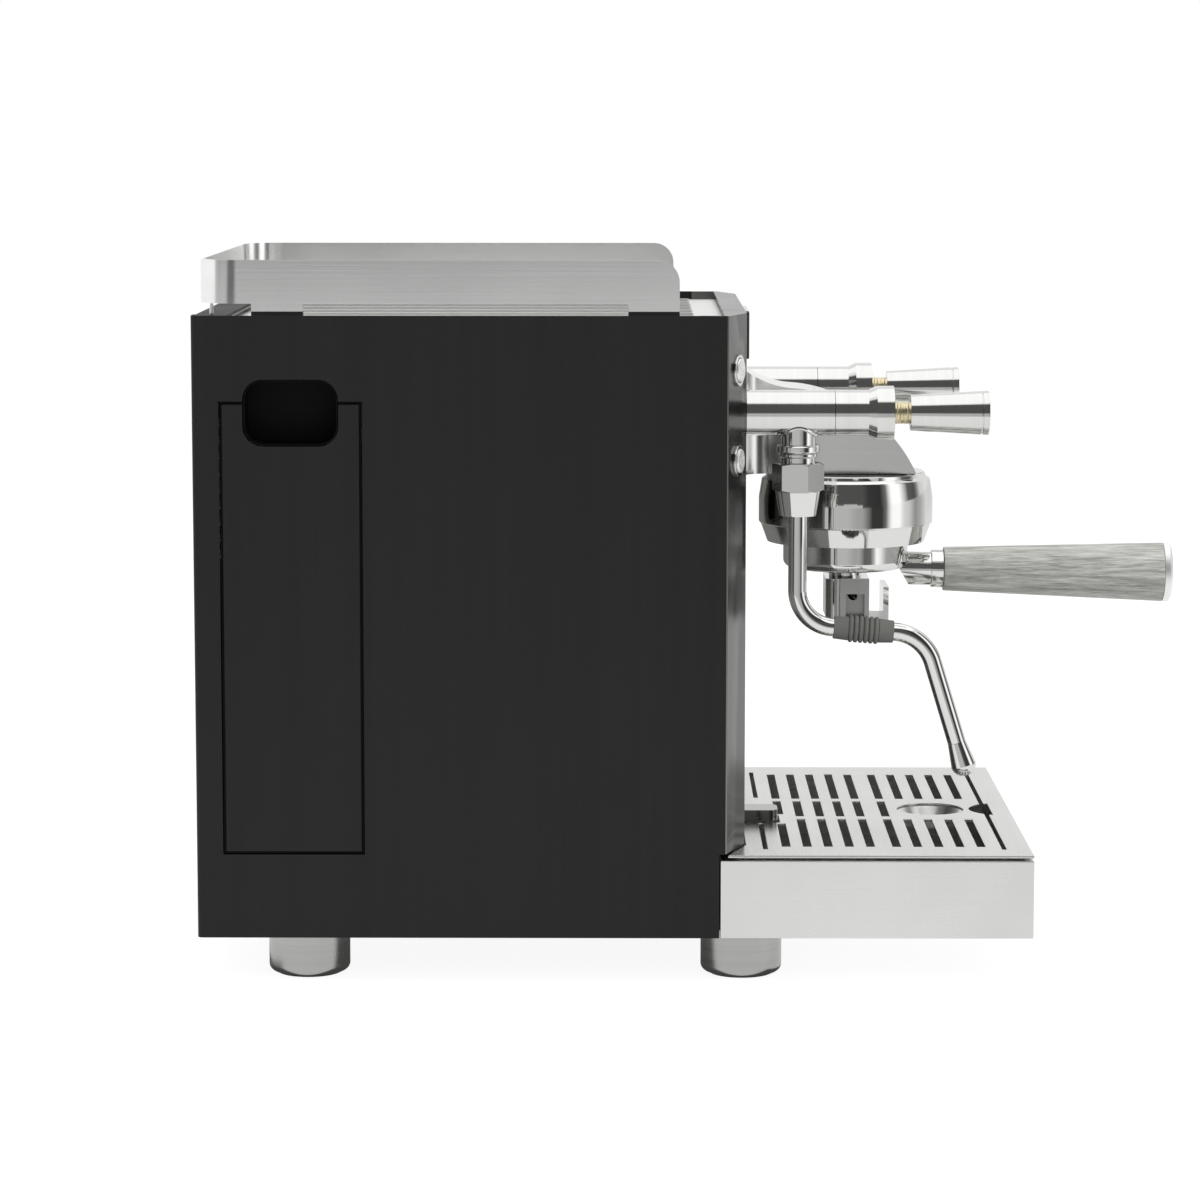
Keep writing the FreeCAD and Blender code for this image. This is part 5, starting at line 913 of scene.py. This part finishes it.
    def band(self, name: str, radius: float, levels: Pair, stops: list[Pair]) -> None:
        """Add an upright curved card round the machine, with a grey that changes along it.

        Args:
            name: Name of the card.
            radius: Its distance from the middle in metres.
            levels: Its lower and upper edge in metres.
            stops: Angles in degrees from the left side (-X) towards the front, each with its grey.
        """
        steps = self.card_steps
        verts, shades = [], []
        for (start, tone), (end, next_tone) in zip(stops, stops[1:]):
            for n in range(steps + 1):
                turn = radians(start + (end - start) * n / steps)
                x, y = -radius * cos(turn), self.card_middle - radius * sin(turn)
                verts += [(x, y, level) for level in levels]
                shades += [tone + (next_tone - tone) * n / steps] * 2
        faces = [(2 * n, 2 * n + 2, 2 * n + 3, 2 * n + 1) for n in range(len(verts) // 2 - 1)
                 if n % (steps + 1) != steps]
        mesh = bpy.data.meshes.new(name)
        mesh.from_pydata(verts, [], faces)
        self.glow(mesh, shades)

    def sheet(self, name: str, x: Pair, y: Pair, z: float, shade: float) -> None:
        """Add a level card of one grey over a range of X and Y at a height."""
        self.glow(self.flat(name, x, y, z), [shade] * 4)

    def glow(self, mesh: bpy.types.Mesh, shades: list[float]) -> None:
        """Make a mesh a card that only reflections show, with one grey for each of its corners."""
        mesh.attributes.new("shade", "FLOAT", "POINT").data.foreach_set("value", shades)
        obj = link(bpy.data.objects.new(mesh.name, mesh))
        made = Surface(mesh.name)
        tone = made.graph.add("ShaderNodeAttribute", attribute_name="shade").outputs["Fac"]
        mesh.materials.append(made.finish({"Base Color": (0, 0, 0, 1), "Specular IOR Level": 0.0,
                                           "Emission Color": WHITE, "Emission Strength": tone}))
        for ray in ("visible_camera", "visible_diffuse", "visible_shadow", "visible_transmission"):
            setattr(obj, ray, False)


@dataclass
class Casing:
    """Black covers, bright front panel, cup shelf, feet and what the rear carries."""

    foot_radius: float = 21.5
    foot_height: float = 24.0
    foot_edge: float = 4.0
    pad_radius: float = 16.8
    pad_recess: float = 3.2
    pad_proud: float = 0.8
    snug: float = 0.02
    stud: Pair = (4.0, 2.0)
    foot_x: float = 110.0
    foot_depths: Pair = (56.5, 286.0)
    screw_x: float = 133.0
    screw_first: float = 30.0
    screw_pitch: float = 88.0
    screw_head: float = 3.0
    screw_sink: float = 1.5
    screw_length: float = 7.5

    def build(self) -> None:
        """Build the casing's pieces and dress them."""
        for node in ("left_side_panel", "right_side_panel", "rear_panel"):
            eased(node, Finish.BLACK_PAINT, Body.MACHINE, "body_black", 0.45)
        eased("front_panel", Finish.FRONT_STEEL, Body.MACHINE, "front_steel", 0.4)
        eased("top_plate", Finish.SHELF_STEEL, Body.MACHINE, "shelf_steel", 0.5)
        eased("display_plate", Finish.DISPLAY_GLOSS, Body.MACHINE, "display_gloss", 0.5)
        eased("mains_inlet", Finish.BLACK_PLASTIC, Body.MACHINE, "black_plastic", 0.4)
        paint(["base_plate"], Finish.PLAIN_STEEL)
        paint(["foot_pads"], Finish.BLACK_RUBBER)
        self.feet()
        self.screws()

    def feet(self) -> None:
        """Four turned feet with a recess for the pad and a stud."""
        end = self.pad_proud - self.foot_height
        roof = end + self.pad_recess
        room = self.pad_radius + self.snug
        stud, stud_end = self.stud
        corner = quarter(self.foot_radius, self.foot_edge, end, 1, 9)
        profile = [(0, roof), (room, roof), (room, end), *corner, (self.foot_radius, 0), (stud, 0),
                   (stud, stud_end), (0, stud_end)]
        feet = [lathe("foot", profile, at(x, -depth, 0), UP, Finish.FOOT_STEEL, 0.4)
                for x in (-self.foot_x, self.foot_x) for depth in self.foot_depths]
        place_piece(merged("feet_turned", feet), Body.MACHINE, "foot_steel", "feet")

    def screws(self) -> None:
        """Countersunk screws with a cross recess along both edges of the rear cover."""
        points = [at(side * self.screw_x, 0, self.screw_first + row * self.screw_pitch)
                  for side in (-1, 1) for row in range(4)]
        sizes = {"Head": self.screw_head * MM, "Sink": self.screw_sink * MM, "Length": self.screw_length * MM}
        screws = screw_shape().make("cross_screws", sizes, Finish.POLISHED_STEEL, points)
        place_piece(screws, Body.MACHINE, "polished_steel", "panel_screws")


@dataclass
class CupRail:
    """Bent rail round the cup shelf and the pads under its tabs."""

    edge: float = 0.3

    def build(self) -> None:
        """Build the rail and its pads."""
        eased("cup_rail", Finish.RAIL_STEEL, Body.MACHINE, "rail_steel", self.edge)
        eased("rail_pads", Finish.BLACK_RUBBER, Body.MACHINE, "black_plastic", self.edge)


@dataclass
class Controls:
    """Two round buttons on the left wing."""

    x: float = -125.0
    y: float = -282.55
    levels: Pair = (250.0, 297.0)
    wing: Pair = (30.0, 10.1)
    nodes: tuple[str, str] = ("brew_button", "power_button")
    bezel: Pair = (8.25, 1.5)
    barrel: Pair = (7.2, 18.0)
    cap_radius: float = 6.2
    cap_gap: float = 0.3
    cap_proud: float = 2.5
    cap_length: float = 10.5
    cap_edge: float = 0.9
    cap_cut: float = 0.3
    cap_ring: tuple[Pair, ...] = ((3.0, 0.0), (2.8, 0.25), (2.2, 0.25), (2.0, 0.0))
    well: float = 10.3

    def build(self) -> None:
        """Build bezels and caps."""
        normal = Vector((-self.wing[1], -self.wing[0], 0)).normalized()
        bezels = []
        (barrel, length), (wide, height) = self.barrel, self.bezel
        radius, top, base = self.cap_radius, self.cap_proud, self.cap_proud - self.cap_length
        inner = radius + self.cap_gap
        bezel = [(0, -length), (barrel, -length), (barrel, 0), (wide, 0), (wide, height), (inner, height),
                 (inner, -self.well), (0, -self.well)]
        ring = [(ring_radius, top - down) for ring_radius, down in self.cap_ring]
        edge, cut = self.cap_edge, self.cap_cut
        cap = [(0, base), (radius, base), (radius, top - edge), (radius - cut, top - cut),
               (radius - edge, top), *ring, (0, top)]
        for level, body, node in zip(self.levels, (Body.BREW_CAP, Body.POWER_CAP), self.nodes):
            centre = at(self.x, self.y, level)
            bezels.append(lathe("bezel", bezel, centre, normal, Finish.POLISHED_STEEL, 0.35))
            turned = lathe(node + "_cap", cap, centre, normal, Finish.BUTTON_STEEL, 0.2)
            place_piece(turned, body, "polished_steel", node)
        place_piece(merged("button_bezels", bezels), Body.MACHINE, "polished_steel", "button_housings")


@dataclass
class TankUnit:
    """Water tank with the black door that it carries, and the door's seal and recess liner; the seal and the
    liner are near-black painted shade.
    """

    door_edge: float = 0.6
    tank_edge: float = 0.8
    behind_door: Box = ((-137.4, -300.0, -20.0), (-40.0, 0.0, 320.0))
    hole_middle: Pair = (-51.1, 275.7)
    hole_half: Pair = (24.75, 17.3)
    hole_corner: float = 10.5
    mouth: float = -138.3
    back: float = -118.5
    liner_gap: float = 0.4
    liner_wall: float = 0.6
    door_sides: Pair = (-15.6, -86.6)
    door_levels: Pair = (45.9, 280.1)
    seal_reach: float = 1.2
    seal_lap: float = 2.0

    def build(self) -> None:
        """Build the tank, its door, the seal and the liner."""
        door = eased("tank_door", Finish.BLACK_PAINT, Body.TANK, "body_black", self.door_edge)
        # Faces of the door behind the finger hole get painted shade: near-black, darker than the door's
        # paint.
        tinted(door, Finish.RECESS_BLACK, *self.behind_door)
        eased("water_tank", Finish.TANK_PLASTIC, Body.TANK, "tank_plastic", self.tank_edge)
        paint(["tank_runner"], Finish.BLACK_PLASTIC)
        self.seal()
        self.liner()

    def seal(self) -> None:
        """Flat ring behind the door's edges, a near-black sheet of painted shade that darkens the gap round
        the door.
        """
        sheet = Vector((self.liner_wall, 0, 0)) * MM
        black, ahead = Finish.RECESS_BLACK, self.mouth - 1
        ring = prism("door_seal", self.border(self.seal_reach, self.mouth), sheet, black)
        room = prism("seal_room", self.border(-self.seal_lap, ahead), 4 * sheet, black)
        hole = prism("seal_hole", self.outline(0.0, ahead), 4 * sheet, black)
        place_piece(carved(ring, [room, hole]), Body.TANK, "body_black")

    def border(self, reach: float, x: float) -> list[Vector]:
        """Corners of the door's outline, widened by a reach, at a place across the machine."""
        (rear, front), (base, top) = self.door_sides, self.door_levels
        return [at(x, rear + reach, base - reach), at(x, rear + reach, top + reach),
                at(x, front - reach, top + reach), at(x, front - reach, base - reach)]

    def liner(self) -> None:
        """Thin cup in near-black painted shade that closes the sides of the finger recess."""
        wall, gap, black = self.liner_wall, self.liner_gap, Finish.RECESS_BLACK
        depth = Vector((self.back - self.mouth, 0, 0)) * MM
        cup = prism("recess_liner", self.outline(gap, self.mouth), depth, black)
        room = prism("recess_room", self.outline(gap + wall, self.mouth - wall), depth, black)
        place_piece(carved(cup, [room]), Body.TANK, "body_black")

    def outline(self, inset: float, x: float) -> list[Vector]:
        """Rounded outline inside the finger hole.

        Args:
            inset: Distance from the edge of the hole in millimetres.
            x: Place of the outline across the machine in millimetres.

        Returns:
            Corners of the outline in the row frame.
        """
        radius = self.hole_corner - inset
        (y, z), (wide, high) = self.hole_middle, [half - self.hole_corner for half in self.hole_half]
        points = []
        for n, (across, up) in enumerate(((1, 1), (-1, 1), (-1, -1), (1, -1))):
            for step in range(7):
                turn = radians(90 * n + 15 * step)
                points.append(at(x, y + across * wide + radius * cos(turn),
                                 z + up * high + radius * sin(turn)))
        return points


@dataclass
class BrewGroup:
    """Bell with its bayonet, and the hood and neck that carry it."""

    depth: float = 346.0
    top: float = 233.8
    top_radius: float = 42.5
    crown_steps: tuple[Pair, ...] = ((0.0, 0.0), (1.0, 0.5), (1.5, 2.4), (3.7, 3.7))
    shoulder: Pair = (46.5, 229.0)
    belly: Pair = (48.0, 219.5)
    band: float = 13.5
    crease: Pair = (47.6, 205.3)
    step: float = 0.5
    base: Pair = (43.4, 195.0)
    mouth: float = 35.2
    chamber: float = 41.7
    lip: float = 200.8
    lug_roof: float = 208.4
    seat: Pair = (36.82, 221.5)
    roof: Pair = (28.7, 224.5)
    entry_angle: float = 32.0
    unlock_angle: float = 45.0

    def build(self) -> None:
        """Build the group's pieces and dress them."""
        self.bell()
        eased("group_hood", Finish.HOOD_STEEL, Body.MACHINE, "satin_steel", 0.35)
        eased("group_neck", Finish.PLAIN_STEEL, Body.MACHINE, "satin_steel", 0.5)
        paint(["group_gasket"], Finish.BLACK_RUBBER)
        paint(["shower_screen"], Finish.POLISHED_STEEL)

    def bell(self) -> None:
        """Turned bell with the two openings that let the lugs in."""
        crown = [(self.top_radius + out, self.top - down) for out, down in self.crown_steps]
        profile = [(0, self.top), *crown, self.shoulder, self.belly,
                   (self.belly[0], self.belly[1] - self.band), self.crease,
                   (self.crease[0] - self.step, self.crease[1]), self.base,
                   (self.mouth, self.base[1]), (self.mouth, self.lip), (self.chamber, self.lip),
                   (self.chamber, self.lug_roof), (self.seat[0], self.lug_roof), self.seat,
                   (self.roof[0], self.seat[1]), self.roof, (0, self.roof[1])]
        bell = lathe("bell", profile, at(0, -self.depth, 0), UP, Finish.POLISHED_STEEL, 0.3, 192)
        cutters = []
        for side_turn in (0.0, 180.0):
            turns = [radians(side_turn - self.unlock_angle + self.entry_angle * (n / 8 - 0.5))
                     for n in range(9)]
            rows = [(self.chamber, t) for t in turns] + [(self.mouth - 1.5, t) for t in reversed(turns)]
            edge = [at(r * cos(t), -self.depth + r * sin(t), self.base[1] - 1) for r, t in rows]
            lift = UP * (self.lip - self.base[1] + 2) * MM
            cutters.append(prism("entry", edge, lift, Finish.POLISHED_STEEL))
        place_piece(carved(bell, cutters), Body.MACHINE, "polished_steel", "group_bell")


@dataclass
class Portafilter:
    """Portafilter with its spout, ferrule, wooden grip and end cap."""

    start: float = 380.0
    level: float = 179.4
    droop: float = 0.8
    ferrule: Triple = (393.2, 400.2, 10.5)
    grip: tuple[float, float, float, float] = (400.2, 521.4, 12.1, 16.2)
    end: float = 525.6
    bolt: float = 4.0
    bolt_end: float = 381.2
    neck_radius: float = 9.25
    mark_depth: float = 384.3
    mark_turn: float = 0.79
    mark_size: Triple = (4.1, 3.1, 0.8)
    mark_reach: float = 1.0
    snug: float = 0.02
    # The first box darkens the spout's side slab; the second paints shade into its window recess.
    darker_and_shaded_boxes: tuple[Box, ...] = (((-20.0, -343.5, 149.0), (20.0, -334.0, 174.5)),
                                   ((-14.8, -356.2, 152.0), (14.8, -345.6, 166.0)))
    plain_boxes: tuple[Box, ...] = (((-15.2, -359.0, 149.0), (-14.8, -343.5, 175.0)),
                                    ((14.8, -359.0, 149.0), (15.2, -343.5, 175.0)))

    def point(self, depth: float) -> Vector:
        """Point on the handle's axis at a depth from the rear face."""
        return at(0, -depth, self.level - (depth - self.start) * tan(radians(self.droop)))

    def build(self) -> None:
        """Build the portafilter's pieces and dress them."""
        eased("pf_body", Finish.POLISHED_STEEL, Body.PORTAFILTER, "polished_steel", 0.5, [self.mark()])
        spout = eased("pf_spout", Finish.POLISHED_STEEL, Body.PORTAFILTER, "polished_steel", 0.6)
        for finish, boxes in ((Finish.DARK_CAST, self.darker_and_shaded_boxes), (Finish.PLAIN_STEEL, self.plain_boxes)):
            for low, high in boxes:
                tinted(spout, finish, low, high)
        paint(["filter_basket", "basket_spring"], Finish.POLISHED_STEEL)
        self.handle()

    def mark(self) -> Obj:
        """Cutter of the oval mark in the side of the neck."""
        half, radius, depth = self.mark_size
        across, up = sin(self.mark_turn), cos(self.mark_turn)
        out, rise = Vector((-across, 0, up)), Vector((up, 0, across))
        middle = self.point(self.mark_depth) + out * (self.neck_radius + self.mark_reach) * MM
        edge = []
        for turn in (n * pi / 12 for n in range(24)):
            along = radius * cos(turn) + copysign(half - radius, cos(turn))
            edge.append(middle + (rise * radius * sin(turn) - FRONT * along) * MM)
        return prism("neck_mark", edge, -out * (self.mark_reach + depth) * MM, Finish.POLISHED_STEEL)

    def turned(self, name: str, rows: Profile, finish: Finish, ease: float) -> Obj:
        """Turned piece on the handle's axis, with its outline as (radius, depth) pairs."""
        foot = self.point(self.start)
        axis = self.point(self.end) - foot
        stretch = 1 / cos(radians(self.droop))
        profile = [(radius, (depth - self.start) * stretch) for radius, depth in rows]
        return lathe(name, profile, foot, axis, finish, ease, 160)

    def handle(self) -> None:
        """Ferrule, grip and end cap with the long bolt."""
        near, far, radius = self.ferrule
        bore = self.bolt + self.snug
        rows = [(bore, near), (radius, near), (radius, far), (bore, far)]
        ferrule = self.turned("ferrule_ring", rows, Finish.POLISHED_STEEL, 0.5)
        place_piece(ferrule, Body.PORTAFILTER, "polished_steel", "pf_ferrule")
        near, far, small, large = self.grip
        rows = [(bore, near), (small, near), (large, far), (bore, far)]
        wood = self.turned("wooden_grip", rows, Finish.GREY_WOOD, 0.7)
        place_piece(wood, Body.PORTAFILTER, "wood", "pf_grip")
        rim = reversed(quarter(large, 0.4 * (self.end - far), self.end, -1, 7))
        rows = [(0, self.bolt_end), (self.bolt, self.bolt_end), (self.bolt, far), (large, far), *rim,
                (0, self.end)]
        cap = self.turned("grip_cap", rows, Finish.SATIN_STEEL, 0.3)
        place_piece(cap, Body.PORTAFILTER, "satin_steel", "pf_end_cap")


@dataclass
class Tap:
    """One tap: valve body with its outlet, bonnet, threaded spindle and knob."""

    side: int
    name: str
    body: Body
    x: float = 96.5
    level: float = 272.9
    face: float = 287.6
    radius: float = 12.0
    seam: float = 334.4
    cone: float = 352.0
    collar: float = 356.4
    end: float = 365.6
    collar_radius: float = 14.2
    stem: float = 5.5
    knob: tuple[float, float, float, float] = (374.2, 415.5, 9.4, 11.85)
    groove: Triple = (411.5, 0.6, 0.7)
    socket: float = 24.0
    slack: float = 0.05
    snug: float = 0.02
    thread: Triple = (1.4, 9.0, 0.5)
    thread_hidden: float = 3.2
    tail: Pair = (8.0, 25.6)
    bore: Triple = (6.5, 30.0, 2.0)
    outlet: float = 315.4
    boss: float = 9.0
    boss_end: float = 243.0
    boss_sink: float = 7.0
    boss_bore: float = 3.4
    boss_ring: tuple[Pair, ...] = ((0.0, -2.6), (0.9, -2.0), (0.9, -0.6), (-0.3, 0.0))
    boss_collar: Triple = (11.2, 252.0, 256.0)
    collar_edges: tuple[Pair, Pair] = ((0.5, 0.6), (0.7, 0.8))
    bead: Triple = (0.5, 0.1, 0.9)

    def point(self, depth: float, level: float) -> Vector:
        """Point in the tap's upright plane at a depth and a level."""
        return at(self.side * self.x, -depth, level)

    def build(self) -> None:
        """Build the tap's pieces and dress them."""
        self.valve()
        foot = self.point(0, self.level)
        hole = self.stem + self.slack
        rows = [(hole, self.seam), (self.radius, self.seam), (self.radius, self.cone),
                (self.collar_radius, self.collar), (self.collar_radius, self.end), (hole, self.end)]
        bonnet = lathe(self.name + "_bonnet_turned", rows, foot, FRONT, Finish.TAP_STEEL, 0.45)
        place_piece(bonnet, Body.MACHINE, "satin_steel", self.name + "_bonnet")
        back, front, small, large = self.knob
        groove, cut, wide = self.groove
        inner, end = self.stem + self.snug, back + self.socket
        rim = small + (large - small) * (groove - back) / (front - back)
        rows = [(inner, back), (small, back), (rim, groove), (rim - cut, groove), (rim - cut, groove + wide),
                (rim, groove + wide), (large, front), (0, front), (0, end), (inner, end)]
        knob = lathe(self.name + "_knob_turned", rows, foot, FRONT, Finish.TAP_STEEL, 0.5)
        place_piece(knob, self.body, "satin_steel", self.name + "_knob")
        paint([self.name + "_plunger", self.name + "_spindle"], Finish.TURNED_BRASS)
        pitch, turns, ridge = self.thread
        place = self.point(self.end - self.thread_hidden, self.level)
        sizes = {"Radius": (self.stem - self.slack) * MM, "Pitch": pitch * MM, "Turns": turns,
                 "Ridge": ridge * MM, "Place": tuple(place), "Turn": (pi / 2, 0.0, 0.0)}
        thread = thread_shape().make(self.name + "_thread", sizes, Finish.TURNED_BRASS)
        place_piece(thread, self.body, "brass")

    def valve(self) -> None:
        """Barrel with its tail, and the ringed boss of the outlet under it."""
        (tail_radius, tail), (bore, bore_depth, passage) = self.tail, self.bore
        start, face, seam, floor = self.face - tail, self.face, self.seam, self.seam - bore_depth
        rows = [(passage, start), (tail_radius, start), (tail_radius, face), (self.radius, face),
                (self.radius, seam), (bore, seam), (bore, floor), (passage, floor)]
        barrel = lathe("barrel", rows, self.point(0, self.level), FRONT, Finish.TAP_STEEL, 0.45)
        boss, (radius, low, high) = self.boss, self.boss_collar
        end, rise, hole = self.boss_end, self.level - self.boss_sink, self.boss_bore
        (low_cut, lift), (high_cut, drop) = self.collar_edges
        rows = [(hole, end), (boss, end), *[(boss + out, low + up) for out, up in self.boss_ring],
                (radius - low_cut, low), (radius, low + lift), (radius, high - drop),
                (radius - high_cut, high), (boss, high), (boss, rise), (hole, rise)]
        boss = lathe("boss", rows, self.point(self.outlet, 0), UP, Finish.POLISHED_STEEL, 0.3)
        wide, proud, thick = self.bead
        sizes = {"Boss Radius": (self.boss + wide) * MM, "Barrel Radius": (self.radius + proud) * MM,
                 "Bead": thick * MM, "Place": tuple(self.point(self.outlet, self.level))}
        bead = saddle_shape().make("bead", sizes, Finish.POLISHED_STEEL)
        place_piece(merged(self.name + "_valve_turned", [barrel, boss, bead]), Body.MACHINE, "satin_steel",
                    self.name + "_valve_body")


@dataclass
class SteamWand:
    """Nut, bent tube, rubber sleeve and tip of the steam wand, and the short water spout."""

    x: float = -96.5
    depth: float = 315.4
    ball: float = 234.0
    ball_radius: float = 8.0
    elbow: Pair = (315.4, 160.3)
    knee: Pair = (382.9, 155.4)
    end: Pair = (400.7, 97.5)
    bends: Pair = (20.0, 23.0)
    radius: float = 4.9
    sleeve_radius: float = 6.3
    rib_radius: float = 7.3
    ribs: int = 6
    rib_pitch: float = 2.7
    rib_share: float = 0.45
    sleeve_clear: float = 0.75
    sleeve_taper: Pair = (-0.4, 0.1)
    waist: float = 0.7
    snug: float = 0.02
    tip: Triple = (18.6, 13.0, 6.7)
    tip_bores: Pair = (3.4, 1.0)
    tip_dome: Pair = (0.8, 0.6)
    nut_size: Triple = (24.0, 246.5, 231.5)
    nut_turn: float = 10.0
    nut_chamfer: Pair = (0.2, 32.0)
    skirt: Triple = (11.85, 9.6, 218.5)
    skirt_edge: Pair = (0.4, 0.6)
    skirt_clear: float = 0.6

    def point(self, place: Pair) -> Vector:
        """Point of the wand at a depth and a level."""
        return at(self.x, -place[0], place[1])

    def build(self) -> None:
        """Build the wand's pieces and dress them."""
        self.nut()
        eased("water_spout", Finish.POLISHED_STEEL, Body.MACHINE, "polished_steel", 0.5)
        points = [self.point(place) for place in ((self.depth, self.ball), self.elbow, self.knee, self.end)]
        tube = bent_bar_shape().make("wand_bar", {"Radius": self.radius * MM}, Finish.POLISHED_STEEL, points,
                                     [0.0, self.bends[0] * MM, self.bends[1] * MM, 0.0])
        size = self.ball_radius
        ball = [(0, -size), *arc((0.01, -size), (size, 0.0), (0.01, size), 25), (0, size)]
        knob = lathe("wand_ball", ball, points[0], UP, Finish.POLISHED_STEEL, 0.0, 64)
        place_piece(merged("wand_tube_bent", [tube, knob]), Body.WAND, "polished_steel", "wand_tube")
        self.sleeve(points)
        length, flare, wide = self.tip
        nose = length - flare
        (bore, hole), (across, along) = self.tip_bores, self.tip_dome
        dome = arc((wide, flare), (wide * across, flare + nose * along), (hole, length), 12)
        rows = [(bore, 0), (self.radius, 0), (wide, flare), *dome[1:], (hole, flare - nose)]
        tip = lathe("wand_tip_turned", rows, points[3], points[3] - points[2], Finish.POLISHED_STEEL, 0.2, 96)
        place_piece(tip, Body.WAND, "polished_steel", "wand_tip")

    def nut(self) -> None:
        """Hexagon nut with turned chamfers and the tapered skirt below it."""
        flat, top, base = self.nut_size
        corner = flat / 2 / cos(pi / 6)
        centre = at(self.x, -self.depth, 0)
        turns = [n * pi / 3 + radians(self.nut_turn) for n in range(6)]
        edge = [at(self.x + corner * sin(turn), -self.depth + corner * cos(turn), base) for turn in turns]
        hexagon = prism("hexagon_blank", edge, UP * (top - base) * MM, Finish.POLISHED_STEEL)
        cut, angle = self.nut_chamfer
        rim = flat / 2 - cut
        slope = (corner - rim) * tan(radians(angle))
        outer = corner + 0.5
        rows = [(0, base), (rim, base), (outer, base + slope), (outer, top - slope), (rim, top), (0, top)]
        round_blank = lathe("round_blank", rows, centre, UP, Finish.POLISHED_STEEL, 0.0)
        meet = hexagon.modifiers.new("meet", "BOOLEAN")
        meet.operation = "INTERSECT"
        meet.object = round_blank
        meet.solver = "EXACT"
        hexagon = plain_mesh(hexagon, "hexagon", Finish.POLISHED_STEEL.material, 20.0)
        bpy.data.objects.remove(round_blank)
        wide, narrow, end = self.skirt
        mouth = self.radius + self.skirt_clear
        cut, inside = self.skirt_edge[0], base + self.skirt_edge[1]
        rows = [(mouth, end), (narrow, end), (wide, base), (wide - cut, inside), (mouth, inside)]
        skirt = lathe("skirt", rows, centre, UP, Finish.POLISHED_STEEL, 0.4)
        place_piece(merged("wand_nut_hexagon", [hexagon, skirt]), Body.MACHINE, "polished_steel", "wand_nut")

    def sleeve(self, points: list[Vector]) -> None:
        """Rubber sleeve between the two bends, with round ribs in its middle."""
        ball, elbow, knee, end = points
        run = knee - elbow
        axis = run.normalized()
        near = self.bends[0] * MM / tan((ball - elbow).angle(run) / 2) + self.sleeve_clear * MM
        far = self.bends[1] * MM / tan((elbow - knee).angle(end - knee) / 2) + self.sleeve_clear * MM
        start = elbow + axis * near
        length = (run.length - near - far) / MM
        first = (length - (self.ribs - 1) * self.rib_pitch) / 2
        rib = self.rib_share * self.rib_pitch
        bore, waist = self.radius + self.snug, self.sleeve_radius - self.waist
        thin, thick = [self.sleeve_radius + more for more in self.sleeve_taper]
        low, high = first - self.rib_pitch / 2, length - first + self.rib_pitch / 2
        rows = [(bore, 0), (thin, 0), (thick, low), (waist, low), (waist, high), (thick, high),
                (thin, length), (bore, length)]
        body = lathe("sleeve", rows, start, axis, Finish.GRIP_RUBBER, 0.3, 96)
        turn = UP.rotation_difference(axis).to_euler()
        sizes = {"Radius": (self.rib_radius - rib) * MM, "Rib": rib * MM, "Count": self.ribs,
                 "Pitch": self.rib_pitch * MM, "Place": tuple(start + axis * first * MM), "Turn": tuple(turn)}
        ribs = ribs_shape().make("ribs", sizes, Finish.GRIP_RUBBER)
        place_piece(merged("wand_sleeve", [body, ribs]), Body.WAND, "grip_rubber", "wand_grip")


@dataclass
class DripTray:
    """Tray with its slotted cover, drain dish and the discharge block above it."""

    edge: float = 0.6

    def build(self) -> None:
        """Build the tray's pieces and dress them."""
        eased("drip_tray", Finish.TRAY_STEEL, Body.TRAY, "tray_steel", 0.5)
        eased("tray_cover", Finish.COVER_STEEL, Body.COVER, "tray_steel", self.edge)
        eased("drain_cup", Finish.TRAY_STEEL, Body.COVER, "tray_steel", 0.3)
        eased("drain_block", Finish.DRAIN_STEEL, Body.MACHINE, "polished_steel", 0.6)


@dataclass
class Interior:
    """Boiler, pump, valve and pipes inside the casing."""

    def build(self) -> None:
        """Dress the inner parts."""
        paint(["boiler_brackets"], Finish.PLAIN_STEEL)
        paint(["boiler_shell", "heating_element"], Finish.BOILER_STEEL)
        paint(["safety_valve"], Finish.TURNED_BRASS)
        paint(["water_pipes", "steam_pipes"], Finish.DRAWN_COPPER)
        paint(["pump_mounts"], Finish.BLACK_RUBBER)
        paint(["control_box", "solenoid_valve", "vibration_pump"], Finish.BLACK_PLASTIC)


def main() -> None:
    """Build the studio and every sub-assembly in order."""
    logging.basicConfig(level=logging.INFO)
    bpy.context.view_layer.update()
    Studio().build()
    taps = [Tap(-1, "steam", Body.STEAM_TAP), Tap(1, "water", Body.WATER_TAP)]
    for unit in (Casing(), CupRail(), Controls(), TankUnit(), BrewGroup(), Portafilter(), *taps, SteamWand(),
                 DripTray(), Interior()):
        unit.build()
        LOG.info("built %s", type(unit).__name__)


if __name__ == "__main__":
    main()
